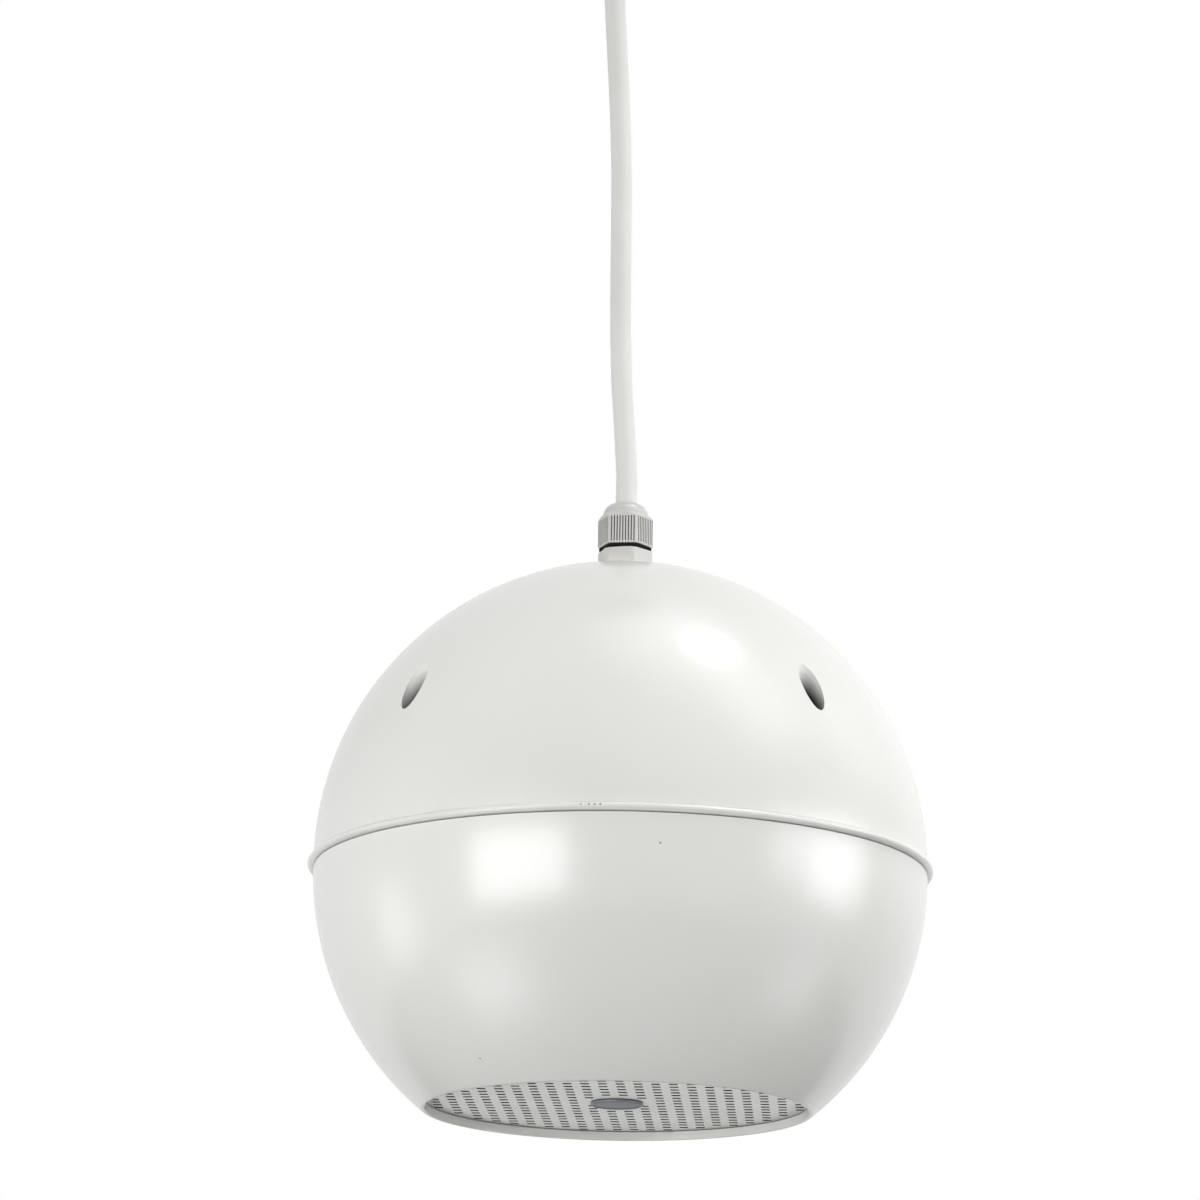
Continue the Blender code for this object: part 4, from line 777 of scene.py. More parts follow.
def bosses(centre_z, groups):
    """Round bosses that run into the shell's wall, from (radius, moves, low, high) groups."""
    rods = []
    for radius, moves, low, high in groups:
        rods += at(rod(radius, low, high), moves)
    clip = turned(ball_arc(BALL_R - WALL / 4, centre_z, 0, pi, BALL_ARC), BALL_STEPS, closed=False)
    return combine(joined(rods), clip, "INTERSECT")


def well_cutter():
    """A screw well with its rounded mouth in the ball's side and the screw's hole in its floor."""
    floor_z = BEAD_LOW_Z + WELL_FLOOR
    screw, down = SCREW_R + FIT, Vector((0, 0, -1))
    columns = []
    for side in range(WELL_SIDES):
        turn = 2 * pi * side / WELL_SIDES
        across = Vector((cos(turn), sin(turn), 0))
        edge = Vector((WELL_RING, 0, 0)) + across * WELL_R
        edge.z = BAND_HALF + sqrt(BALL_R ** 2 - edge.x ** 2 - edge.y ** 2)
        out = (edge - Vector((0, 0, BAND_HALF))).normalized()
        away = (across - out * across.dot(out)).normalized()
        start = edge + away * WELL_EDGE
        profile = [(screw, BEAD_LOW_Z - CUT), (screw, floor_z), (WELL_R - WELL_EDGE, floor_z)]
        profile.append((WELL_R, floor_z + WELL_EDGE))
        column = [Vector((WELL_RING + r * across.x, r * across.y, z)) for r, z in profile]
        column += bent(edge + down * WELL_EDGE, edge, start)
        column.append(start + away * WELL_EDGE * 0.4 + out * 0.06 * MM)
        column.append(column[-1] + out * 2 * CUT)
        columns.append(column)
    return lofted(columns)


def shell(name, mesh, node, centre_z):
    """Shows half the ball, and gives what lies on its outer surface the ball's own normals."""
    mesh = show(name, mesh, "ball_white", node, lift=SEAM_Z).data
    centre = Vector((0, 0, SEAM_Z + centre_z))
    mesh.update()
    normals = [Vector(corner.vector) for corner in mesh.corner_normals]
    for face in mesh.polygons:
        for corner in face.loop_indices:
            out = mesh.vertices[mesh.loops[corner].vertex_index].co - centre
            on_ball = abs(out.length - BALL_R) < 0.02 * MM
            if on_ball and face.normal.dot(out.normalized()) > 0.9:
                normals[corner] = out.normalized()
    mesh.normals_split_custom_set(normals)


def bead_outline():
    """The fine line in the wall, then the half-round bead at the seam from its top to its underside."""
    half = BEAD_HEIGHT / 2
    middle, top = BEAD_LOW_Z + half, BEAD_LOW_Z + BEAD_HEIGHT
    outline = [(BALL_R, top + LINE_DEEP * 1.6), (BALL_R - LINE_DEEP, top + LINE_DEEP * 0.8)]
    for share in shares(12):
        angle = pi / 2 - pi * share
        outline.append((BALL_R + BEAD_PROUD * cos(angle), middle + half * sin(angle)))
    return outline


def upper_ball():
    """Upper half ball: gland pad, bead, tongue, rounded screw wells and transformer posts."""
    inner = BALL_R - WALL
    tongue = inner - FIT
    tongue_inner = tongue - TONGUE_WIDE
    tongue_z = BEAD_LOW_Z - TONGUE_DEPTH
    outline = [(GLAND_HOLE_R, PAD_Z)]
    outline += ball_arc(BALL_R, BAND_HALF, asin(PAD_R / BALL_R), pi / 2, BALL_ARC)
    outline += bead_outline()
    outline += [(tongue, BEAD_LOW_Z), (tongue, tongue_z), (tongue_inner, tongue_z), (tongue_inner, BAND_HALF)]
    outline += ball_arc(inner, BAND_HALF, acos(3 * WALL / inner), asin(PAD_R / inner), BALL_ARC // 4)
    outline.append((GLAND_HOLE_R, BAND_HALF + sqrt(inner ** 2 - PAD_R ** 2)))
    top = BAND_HALF + BALL_R + CUT
    groups = [(WELL_BOSS_R, WELL_MOVES, BEAD_LOW_Z, top), (POST_R, POST_MOVES, POST_END, top)]
    mesh = combine(turned(outline, BALL_STEPS), bosses(BAND_HALF, groups), "UNION")
    pilot = rod(SCREW_R + FIT, POST_END - CUT, POST_END + POST_SCREW_LONG)
    wells = at(well_cutter(), round_moves(WELL_COUNT, 0.0, pi / WELL_COUNT))
    mesh = combine(mesh, joined(at(pilot, POST_MOVES) + wells))
    shell("ball_upper", mesh, "upper_shell", BAND_HALF)


def lower_ball():
    """Lower half ball: rounded rims, the grille's opening and lip, pillars and driver bosses."""
    inner = BALL_R - WALL
    pocket = GRILLE_R + 3 * FIT
    rim_end = acos((BAND_HALF + RIM_ROUND - RIM_DROP) / BALL_R)
    rim_r = sqrt(BALL_R ** 2 - (RIM_DROP - BAND_HALF) ** 2)
    socket_z = BEAD_LOW_Z - TONGUE_DEPTH - FIT
    start, inner_start = acos((LOWER_TOP_Z + BAND_HALF) / BALL_R), acos((socket_z + BAND_HALF) / inner)
    outline = ball_arc(BALL_R, -BAND_HALF, start, rim_end, BALL_ARC)[1:]
    outline += [(rim_r - 0.1 * MM, -RIM_DROP, 0.3 * MM), (OPENING_R, -RIM_DROP, 0.4 * MM)]
    outline += [(OPENING_R, LIP_TOP_Z), (pocket, LIP_TOP_Z)]
    outline += ball_arc(inner, -BAND_HALF, pi - asin(pocket / inner), inner_start, BALL_ARC // 4)
    outline += [(inner, socket_z), (inner, LOWER_TOP_Z), (BALL_R, LOWER_TOP_Z, 0.2 * MM)]
    low, boss_top = -BAND_HALF - BALL_R, FLANGE_Z - FIT
    groups = [(PILLAR_R, WELL_MOVES, low, LOWER_TOP_Z), (DRIVER_BOSS_R, DRIVER_MOVES, low, boss_top)]
    mesh = combine(turned(outline, BALL_STEPS), bosses(-BAND_HALF, groups), "UNION")
    pilot = rod(SCREW_R + FIT, BEAD_LOW_Z + WELL_FLOOR - SCREW_LONG - PILOT_SPARE, CUT)
    driver_end = FLANGE_Z + FLANGE_THICK - FIT - DRIVER_SCREW_LONG
    driver_pilot = rod(DRIVER_SCREW_R + FIT, driver_end, boss_top + CUT)
    mesh = combine(mesh, joined(at(pilot, WELL_MOVES) + at(driver_pilot, DRIVER_MOVES)))
    shell("ball_lower", mesh, "lower_shell", -BAND_HALF)


def curve_through(points, spacing):
    """Points at an even spacing on a smooth curve through the given ones (Catmull-Rom)."""
    guides = [points[0]] + points + [points[-1]]
    fine = []
    for before, start, end, after in zip(guides, guides[1:], guides[2:], guides[3:]):
        slope, bend = end - before, 2 * before - 5 * start + 4 * end - after
        twist = 3 * start - before - 3 * end + after
        fine += [0.5 * (2 * start + slope * t + bend * t ** 2 + twist * t ** 3) for t in shares(24)[:-1]]
    fine.append(points[-1])
    kept = [fine[0]]
    travelled = 0.0
    for last, point in zip(fine, fine[1:]):
        travelled += (point - last).length
        if travelled >= spacing:
            kept.append(point)
            travelled = 0.0
    return kept + [fine[-1]]


def cord():
    """The cord from the gland's tail, through its mouth, up to the grip in the ceiling cup."""
    curve = bpy.data.curves.new("cord_line", "CURVE")
    curve.dimensions = "3D"
    curve.bevel_depth = CORD_R
    curve.bevel_resolution = 10
    curve.use_fill_caps = True
    points = [Vector((x * cos(VIEW_TURN), x * sin(VIEW_TURN), MOUTH_Z + z)) for x, z in CORD_ROUTE]
    route = curve_through(points, CORD_R / 2)
    spline = curve.splines.new("POLY")
    spline.points.add(len(route) - 1)
    for slot, point in zip(spline.points, route):
        slot.co = (*point, 1.0)
    spline.use_smooth = True
    curve.materials.append(LOOKS["cord_white"])
    piece = placed("hanging_cord", curve)
    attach(piece, "housing")
    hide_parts("cord")


def cross_outline(reach, half):
    """A plus shape, for the drive in a screw's head."""
    points = []
    for turn in range(4):
        quarter = Matrix.Rotation(-pi / 2 * turn, 2)
        points += [tuple(quarter @ Vector(point)) for point in ((half, reach), (half, half), (reach, half))]
    return points


def pan_screw(head_r, head_h, shank_r, long):
    """A pan head screw with a cross drive and a ridged shank; its head's underside is at zero."""
    start, pitch, root = shank_r - long, SCREW_PITCH, shank_r * 0.78
    outline = [(0, -long), (shank_r * 0.35, -long), (shank_r * 0.75, start)]
    for index in range(int((long - shank_r) / pitch)):
        z = start + pitch * (index + 0.2)
        outline += [(shank_r, z + pitch * 0.2), (shank_r, z + pitch * 0.35), (root, z + pitch * 0.7)]
    outline += [(root, -0.05 * MM), (root, 0), (head_r * 0.96, 0), (head_r, head_h * 0.06)]
    angles = [pi / 2 * share for share in shares(8)[:-1]]
    outline += [(head_r * cos(a) ** 0.55, head_h * (0.35 + 0.65 * sin(a))) for a in angles]
    outline.append((0, head_h))
    drive = prism(cross_outline(head_r * 0.55, head_r * 0.12), head_h * 0.45, head_h + CUT)
    return combine(turned(outline, 40, closed=False), drive)


def screws():
    """Every set of screws, each screw in place of its own packed one."""
    well_seat = shift(z=SEAM_Z + BEAD_LOW_Z + WELL_FLOOR + FIT)
    flange_seat = shift(z=SEAM_Z + FLANGE_Z + FLANGE_THICK + FIT)
    post_seat = shift(z=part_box("transformer_screw_1")[0].z + SMALL_HEAD_H)
    small = SMALL_HEAD_R, SMALL_HEAD_H
    upside_down = spin(pi, "X")
    sides = [shift(side * (CUP_R + FIT), 0, -CUP_SCREW_DROP) @ spin(side * pi / 2, "Y") for side in (-1, 1)]
    sets = [
        ("well_screw", "housing_screw", (SCREW_HEAD_R, SCREW_HEAD_H, SCREW_R, SCREW_LONG),
         [well_seat @ move for move in WELL_MOVES]),
        ("flange_screw", "driver_screw", (*small, DRIVER_SCREW_R, DRIVER_SCREW_LONG),
         [flange_seat @ move for move in DRIVER_MOVES]),
        ("core_screw", "transformer_screw", (*small, SCREW_R, POST_SCREW_LONG),
         [post_seat @ move @ upside_down for move in POST_MOVES]),
        ("cup_side_screw", "cup_screw", (*small, SCREW_R, CUP_SCREW_LONG), sides),
    ]
    for name, node, sizes, moves in sets:
        mesh = pan_screw(*sizes)
        for index, move in enumerate(moves, 1):
            copy = mesh.copy()
            copy.transform(move)
            show(f"{name}_{index}", copy, "zinc_steel", f"{node}_{index}")


def hole_centres():
    """Centres of the grille's holes: whole ones only, and none under the badge."""
    reach = GRILLE_R - HOLE_EDGE
    count = int(reach / HOLE_PITCH) + 1
    lines = [(index + 0.5) * HOLE_PITCH for index in range(-count, count)]
    for x in lines:
        for y in lines:
            outer = hypot(abs(x) + HOLE_SIDE / 2, abs(y) + HOLE_SIDE / 2)
            if outer < reach and hypot(x, y) - HOLE_SIDE / sqrt(2) > BADGE_R - BADGE_FOOT:
                yield x, y


def rounded_square(half, corner):
    """Points round a square with rounded corners, four to each."""
    points = []
    middle = half - corner
    for quarter, (right, up) in enumerate(((1, 1), (-1, 1), (-1, -1), (1, -1))):
        for share in shares(3):
            angle = pi / 2 * (quarter + share)
            points.append((middle * right + corner * cos(angle), middle * up + corner * sin(angle)))
    return points


def disc(node, edge):
    """A flat round plate with an eased edge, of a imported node's size."""
    outer, low, high = span(node)
    return turned([(0, low), (outer, low, edge), (outer, high, edge), (0, high)], BALL_STEPS, closed=False)


def grille():
    """Punched sheet: rounded square holes with drawn-in edges and painted shade on their walls, and a turned
    edge.
    """
    outer, low, high = span("grille")
    edge, flare = 0.25 * MM, CUT / 2
    half, wide = HOLE_SIDE / 2, HOLE_SIDE / 2 + HOLE_BEVEL + flare
    levels = [(low - flare, wide), (low + HOLE_BEVEL, half), (high - HOLE_BEVEL, half), (high + flare, wide)]
    squares = [[Vector((x, y, z)) for x, y in rounded_square(size, HOLE_CORNER)] for z, size in levels]
    punches = joined(at(lofted(list(zip(*squares))), [shift(x, y) for x, y in hole_centres()]))
    mesh = combine(disc("grille", edge), punches)
    piece = show("punched_grille", mesh, "grille_white", "grille", sharp=25)
    # the holes' walls get a second material of painted shade
    piece.data.materials.append(hole_wall_shade().made)
    for face in piece.data.polygons:
        inside = hypot(face.center.x, face.center.y) < outer - edge
        if abs(face.normal.z) < 0.3 and inside:
            face.material_index = 1


def badge():
    """The blank round boss in the grille's middle: a shallow dome inside a rolled rim."""
    outer, low, high = span("grille_badge")
    outer -= 0.6 * MM
    low += 0.2 * MM
    flat, roll = outer - BADGE_RIM, BADGE_RIM / 2
    outline = [(flat * share, low + BADGE_CROWN * (1 + share ** 2)) for share in shares(12)]
    for share in shares(9)[1:]:
        angle = pi * share
        outline.append((outer - roll - roll * cos(angle), low + roll - roll * sin(angle)))
    outline += [(outer, high - 0.1 * MM), (outer - 0.1 * MM, high), (0, high)]
    show("blank_badge", turned(outline, BALL_STEPS, closed=False), "badge_grey", "grille_badge")


def cloth():
    """Round dust cloth, stretched flat behind the grille."""
    piece = show("dust_cloth", disc("grille_cloth", 0.1 * MM), "black_cloth", "grille_cloth")


def flat_angles(offsets, turn):
    """Angles all round a hexagon, from the offsets across one of its flats."""
    return [turn + pi / 6 + pi / 3 * face + offset for face in range(6) for offset in offsets]


def off_flat(angle, turn):
    """Angle from the middle of the nearest flat."""
    return (angle - turn) % (pi / 3) - pi / 6


def hexagon_r(flats, limit, turn, inset=0.0):
    """Radius by angle of a hexagon whose corners are turned off at a limit."""
    return lambda angle: min((flats / 2 - inset) / cos(off_flat(angle, turn)), limit)


def nut_r(inset=0.0, grooved=0.0, cut=0.0):
    """Radius by angle of the sealing nut's ribbed hexagon."""
    last = GLAND_RIBS // 2

    def reach(angle):
        off = off_flat(angle, NUT_TURN)
        across = GLAND_FLATS / 2 * tan(off)
        nearest = min(max(round(across / RIB_PITCH), -last), last)
        share = abs(across - nearest * RIB_PITCH) / (RIB_GROOVE / 2)
        deep = RIB_GROOVE * grooved * max(0.0, 1 - share ** 3)
        return min((GLAND_FLATS / 2 - inset - deep) / cos(off), GLAND_CORNER_R - cut)
    return reach


def nut_rings(low, groove_z):
    """Rings up the sealing nut's outside: its foot, ribs, chamfered shoulder and dome."""
    foot = ((0, 0.25, 0, 0.5), (0.08, 0.08, 0, 0.2), (0.3, 0, 0, 0), (0.45, 0, 0, 0), (0.5, 0, 0.9, 0),
            (0.7, 0, 1, 0))
    rings = [(low + z * MM, nut_r(inset * MM, grooved, cut * MM)) for z, inset, grooved, cut in foot]
    for z, grooved in ((groove_z - 0.5 * MM, 1), (groove_z - 0.1 * MM, 0.7), (groove_z, 0), (SHOULDER_Z, 0)):
        rings.append((z, nut_r(0, grooved)))
    for share in shares(8)[1:]:
        rings.append((SHOULDER_Z + GLAND_CHAMFER_H * share, nut_r(cut=GLAND_CHAMFER_IN * share)))
    mouth_r, dome_r = CORD_BORE + GLAND_MOUTH_FLAT, GLAND_CORNER_R - GLAND_CHAMFER_IN
    dome_z = SHOULDER_Z + GLAND_CHAMFER_H
    for share in shares(12)[1:]:
        angle = pi / 2 * share
        fall, rise = cos(angle) ** DOME_FALL, sin(angle) ** DOME_RISE
        rings.append((dome_z + (MOUTH_Z - dome_z) * rise, mouth_r + (dome_r - mouth_r) * fall))
    return rings


def sealing_nut():
    """Ribbed hexagon nut with a rolled mouth round the cord, and shade in its grooves."""
    offsets = HEX_CORNERS[:]
    for groove in range(-(GLAND_RIBS // 2), GLAND_RIBS // 2 + 1):
        for share in (-1.001, -0.6, 0, 0.6, 1.001):
            offsets.append(atan2(groove * RIB_PITCH + share * RIB_GROOVE / 2, GLAND_FLATS / 2))
    low, groove_z = NUT_LOW_Z - NUT_SKIRT, SHOULDER_Z - RIB_END
    thread, roll = GLAND_THREAD_R + FIT, NUT_ROLL
    rings = nut_rings(low, groove_z)
    rings += [(MOUTH_Z, CORD_BORE + roll), (MOUTH_Z - roll * 0.3, CORD_BORE + roll * 0.3)]
    rings += [(MOUTH_Z - roll, CORD_BORE), (SHOULDER_Z + MOUTH_FUNNEL, CORD_BORE)]
    rings += [(SHOULDER_Z, thread), (low, thread)]
    mesh = ringed(flat_angles(sorted(offsets), NUT_TURN), rings)
    piece = show("sealing_nut", mesh, "gland_grey", "gland_nut", sharp=28)
    piece.data.materials.append(moulded("groove_dark", (0.16, 0.156, 0.15), 0.6, 0.3 * MM, 6e-6).made)
    for face in piece.data.polygons:
        x, y, z = face.center
        flat_r = GLAND_FLATS / 2 / cos(off_flat(atan2(y, x), NUT_TURN))
        sunk = GROOVE_SEEN < min(flat_r, GLAND_CORNER_R) - hypot(x, y) < 2 * RIB_GROOVE
        if sunk and low + 0.5 * MM < z < groove_z:
            face.material_index = 1


def thread_rings(radius, low, high):
    """Ridges up a threaded stem, as (height, radius)."""
    root = radius * THREAD_ROOT
    rings = []
    for index in range(int((high - low) / THREAD_PITCH)):
        for share, r in ((0.1, root), (0.45, radius), (0.6, radius), (0.95, root)):
            rings.append((low + THREAD_PITCH * (index + share), r))
    return rings


def gland_body():
    """Threaded tail, hexagon with eased edges, threaded neck and the bore with the seal's seat."""
    _, low, high = span("gland_body")
    hex_top = NUT_LOW_Z - GLAND_GAP
    hex_low = hex_top - GLAND_HEX_H
    plain_z, seat_z = hex_low - 1.5 * MM, NUT_LOW_Z + 0.5 * MM
    thread, root, edge = GLAND_THREAD_R, GLAND_THREAD_R * THREAD_ROOT, 0.3 * MM
    seat = CORD_BORE + SEAL_WALL + FIT
    rings = [(low, CORD_BORE), (low, root)] + thread_rings(thread, low, hex_low - 2 * MM)
    rings += [(plain_z, root), (plain_z, thread), (hex_low, thread)]
    eased = []
    for rise, inset, cut in ((0, 1, 2), (0.3, 0.3, 1), (1, 0, 0)):
        outside = hexagon_r(GLAND_FLATS, GLAND_CORNER_R - edge * cut, GLAND_TURN, edge * inset)
        eased.append((edge * rise, outside))
    rings += [(hex_low + rise, outside) for rise, outside in eased]
    rings += [(hex_top - rise, outside) for rise, outside in eased[::-1]]
    rings += [(hex_top, thread), (NUT_LOW_Z, thread)]
    rings += thread_rings(thread, NUT_LOW_Z, high - THREAD_PITCH)
    rings += [(high, root), (high, seat), (seat_z, seat), (seat_z, CORD_BORE)]
    mesh = ringed(flat_angles(HEX_OFFSETS, GLAND_TURN), rings)
    show("gland_stem", mesh, "gland_grey", "gland_body", sharp=28)


def plain_nut(name, slot, node, bore, edge):
    """A hexagon nut with its corners turned off at both ends."""
    corner_r, low, high = span(node)

    def hexagon(cut):
        return hexagon_r(corner_r * sqrt(3), corner_r * 0.97 - cut, 0.0)
    rings = [(low, bore + edge), (low, hexagon(2 * edge)), (low + edge, hexagon(0))]
    rings += [(high - edge, hexagon(0)), (high, hexagon(2 * edge))]
    rings += [(high, bore + edge), (high - edge, bore), (low + edge, bore)]
    show(name, ringed(flat_angles(HEX_OFFSETS, 0.0), rings), slot, node, sharp=28)


def gap_shade_washer():
    """A black rubber ring in the gap between nut and body, cut to the nut's hexagon; its black stands in for
    the shade in that gap, as painted shade.
    """
    _, low, _ = span("gland_ring")
    high = NUT_LOW_Z - NUT_SKIRT - FIT / 2
    edge, bore = 0.15 * MM, GLAND_THREAD_R + FIT
    full, eased = (hexagon_r(RING_FLATS, RING_CORNER - cut, NUT_TURN) for cut in (0, edge))
    rings = [(low, bore), (low, eased), (low + edge, full), (high - edge, full), (high, eased), (high, bore)]
    mesh = ringed(flat_angles(HEX_OFFSETS, NUT_TURN), rings)
    # painted shade: a black ring stands where the gap between nut and body lies in shade
    show("gap_shade_washer", mesh, "seal_rubber", "gland_ring", sharp=28)


def gland():
    sealing_nut()
    gland_body()
    gap_shade_washer()
    ring("pad_washer", "seal_rubber", "gland_gasket", GLAND_THREAD_R + FIT, 0.25 * MM)
    ring("cord_seal", "seal_rubber", "gland_seal", CORD_BORE, 0.3 * MM)
    plain_nut("shell_locknut", "gland_grey", "gland_locknut", GLAND_THREAD_R + FIT, 0.4 * MM)


def cup_outline(inset):
    """Side and rounded shoulder of the cup, from the rim to the grip's hole."""
    radius, depth, bend = CUP_R - inset, CUP_DEPTH - inset, CUP_SHOULDER - inset
    outline = [(radius, -CUP_RIM_GAP, 0.5 * MM)]
    for share in shares(24):
        angle = pi / 2 * share
        outline.append((radius - bend + bend * cos(angle), -depth + bend - bend * sin(angle)))
    return outline + [(GRIP_STEM_R + FIT, -depth, 0.3 * MM)]


def side_rods(radius, inner):
    """A rod along X on each side at the cup screws' height."""
    lay = shift(z=-CUP_SCREW_DROP) @ spin(pi / 2, "Y")
    return joined(at(rod(radius, inner, CUP_R + CUT), [lay, spin(pi) @ lay]))


def ceiling_cup():
    mesh = turned(cup_outline(0) + cup_outline(CUP_WALL)[::-1], CUP_STEPS)
    mesh = combine(mesh, side_rods(SCREW_R + FIT, CUP_R - 3 * CUP_WALL))
    show("connection_cup", mesh, "cup_white", "ceiling_cup")


def capsule(left, right, half):
    """Outline of a slot with round ends along X."""
    points = []
    for middle, start in ((right - half, -pi / 2), (left + half, pi / 2)):
        angles = [start + pi * share for share in shares(12)]
        points += [(middle + half * cos(angle), half * sin(angle)) for angle in angles]
    return points


def ceiling_bracket():
    """Folded strap: rounded bends, slots with round ends and eased edges."""
    half, thick, edge = BRACKET_HALF, BRACKET_THICK, 0.3 * MM
    bend = 1.4 * thick
    left = [(-half, 0, bend), (-half, -BRACKET_LEG, edge), (-half + thick, -BRACKET_LEG, edge)]
    left.append((-half + thick, -thick, bend - thick / 2))
    right = [(-x, z, size) for x, z, size in left[::-1]]
    mesh = prism(left + right, -BRACKET_WIDE / 2, BRACKET_WIDE / 2)
    mesh.transform(spin(pi / 2, "X"))
    cutters = [prism(capsule(*ends, BRACKET_SLOT_HALF), -thick - CUT, CUT) for ends in BRACKET_SLOTS]
    cutters.append(side_rods(SCREW_R + FIT, BRACKET_HALF - 2 * thick))
    mesh = combine(mesh, joined([(cutter, shift()) for cutter in cutters]))
    show("folded_bracket", mesh, "zinc_steel", "ceiling_bracket")


def cord_grip():
    """Threaded bush in the cup's floor, its nut inside and the screw that pinches the cord."""
    _, low, high = span("grip_bush")
    bore, collar = CORD_BORE, -CUP_DEPTH - FIT
    outline = [(bore, low, 0.6 * MM), (GRIP_R, low, 1.2 * MM), (GRIP_R, collar, 0.3 * MM)]
    outline.append((GRIP_STEM_R, collar))
    outline += [(r, z) for z, r in thread_rings(GRIP_STEM_R, collar + 2 * MM, high)]
    outline += [(GRIP_STEM_R * THREAD_ROOT, high, 0.2 * MM), (bore, high, 0.3 * MM)]
    lay = shift(z=(low + collar) / 2) @ spin(pi / 2, "Y")
    hole = rod(GRIP_SCREW_R + FIT, bore - CUT, GRIP_R + CUT)
    hole.transform(lay)
    show("grip_collar", combine(turned(outline), hole), "nylon_white", "grip_bush")
    end, _, _ = span("grip_screw")
    outline = [(0, bore), (GRIP_SCREW_R, bore, 0.4 * MM), (GRIP_SCREW_R, end, 0.4 * MM), (0, end)]
    reach, half = GRIP_SCREW_R + CUT, GRIP_SLOT_HALF
    slot_outline = [(-reach, -half), (reach, -half), (reach, half), (-reach, half)]
    slot = prism(slot_outline, end - GRIP_SLOT_DEEP, end + CUT)
    mesh = combine(turned(outline, 40, closed=False), slot)
    mesh.transform(lay)
    show("pinch_screw", mesh, "nylon_white", "grip_screw")
    plain_nut("grip_ring_nut", "nylon_white", "grip_nut", GRIP_STEM_R + FIT, 0.35 * MM)


def basket():
    """Pressed frame: flange, open wall with rounded windows, spider step and magnet seat."""
    outer, low, high = span("basket")
    skin, hole_r, wall_h, taper = BASKET_SKIN, BASKET_HOLE_R, BASKET_WALL_H, BASKET_TAPER
    seat_r, seat_h, back_r = BASKET_SEAT_R, BASKET_SEAT_H, BASKET_BACK_R
    neck, back, wall_r = seat_r - BASKET_STEP, high - low, hole_r + skin
    corners = [(hole_r, 0, 0.4), (outer, 0, 0.2), (outer, FLANGE_THICK, 0.2), (wall_r, FLANGE_THICK, 0.5)]
    corners += [(wall_r - taper, wall_h, 1.5), (seat_r, seat_h, 0.8), (neck, seat_h, 0.5)]
    corners += [(neck, back, 0.9), (back_r, back, 0.2), (back_r, back - skin, 0.2)]
    corners += [(neck - skin, back - skin, 0.3), (neck - skin, seat_h - skin, 0.5)]
    corners += [(seat_r - skin / 4, seat_h - skin, 0.5), (hole_r - taper, wall_h - skin / 2, 1.5)]
    mesh = turned([(r, z, size * MM) for r, z, size in corners])
    ends = wall_h + WINDOW_MARGIN, seat_h - skin - WINDOW_MARGIN
    pane = [(z, -WINDOW_HALF, WINDOW_ROUND) for z in ends]
    pane += [(z, WINDOW_HALF, WINDOW_ROUND) for z in ends[::-1]]
    window = prism(pane, seat_r, outer)
    window.transform(Matrix(((0, 0, 1, 0), (0, 1, 0, 0), (1, 0, 0, 0), (0, 0, 0, 1))))
    hole = rod(DRIVER_SCREW_R + FIT, -CUT, FLANGE_THICK + CUT)
    cutters = at(window, round_moves(4, 0.0, pi / 4)) + at(hole, DRIVER_MOVES)
    show("pressed_basket", combine(mesh, joined(cutters)), "basket_steel", "basket", lift=low)


def magnet_system():
    coil_r, _, _ = span("voice_coil")
    ring("gasket_foam", "foam_grey", "driver_gasket", GASKET_HOLE_R, 0.8 * MM)
    ring("front_plate", "zinc_steel", "top_plate", coil_r + COIL_GAP, 0.3 * MM)
    ring("ring_magnet", "ferrite", "magnet", MAGNET_HOLE_R, 0.9 * MM)
    outer, low, high = span("back_yoke")
    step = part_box("magnet")[1].z + FIT
    outline = [(0, low), (POLE_R, low, 0.5 * MM), (POLE_R, step), (outer, step, 0.4 * MM)]
    outline += [(outer, high, 1.1 * MM), (0, high)]
    show("pole_yoke", turned(outline, closed=False), "zinc_steel", "back_yoke")


def moving_parts():
    """Cone, dust cap and voice coil, on the body that the signal moves."""
    outer, low, high = span("cone")
    neck, lip_in, skin = FORMER_R + FIT, outer - CONE_LIP, CONE_SKIN
    outline = [(neck, high - skin), (lip_in, low, 0.8 * MM), (outer, low, 0.2 * MM)]
    outline += [(outer, low + skin, 0.2 * MM), (lip_in + skin / 2, low + skin, 0.8 * MM), (neck, high)]
    show("paper_cone", turned(outline), "cone_paper", "cone", body="cone_assembly")
    outer, low, high = span("dust_cap")
    dome = [(outer * share, high - (high - low) * (1 - share ** 2)) for share in shares(24)]
    inside = [(r, z + EDGE_SKIN) for r, z in dome[:22]]
    mesh = turned(dome + [(outer - EDGE_SKIN, high)] + inside[::-1], closed=False)
    show("cap_dome", mesh, "cone_paper", "dust_cap", body="cone_assembly")
    outer, low, high = span("voice_coil")
    inner, wound = POLE_R + COIL_GAP, high - WOUND_H
    outline = [(inner, low), (FORMER_R, low), (FORMER_R, wound), (outer, wound, 0.1 * MM)]
    outline += [(outer, high, 0.1 * MM), (inner, high)]
    show("wound_coil", turned(outline), "copper", "voice_coil", body="cone_assembly")


def soft_ring(name, slot, node, inner, outer, waves):
    """Thin pressed cloth ring: (radius, height) of its two flat lips, with waves between them."""
    start, end = inner[0] + EDGE_LIP, outer[0] - EDGE_LIP
    line = [inner]
    for share in shares(16 * waves):
        swell = sin(pi * share) * sin(2 * pi * waves * share) * WAVE_HALF
        line.append((start + (end - start) * share, inner[1] + (outer[1] - inner[1]) * share + swell))
    line.append(outer)
    outline = line + [(r, z + EDGE_SKIN) for r, z in reversed(line)]
    piece = show(name, turned(outline), slot, node, body=None, sharp=60)
    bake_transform(piece)


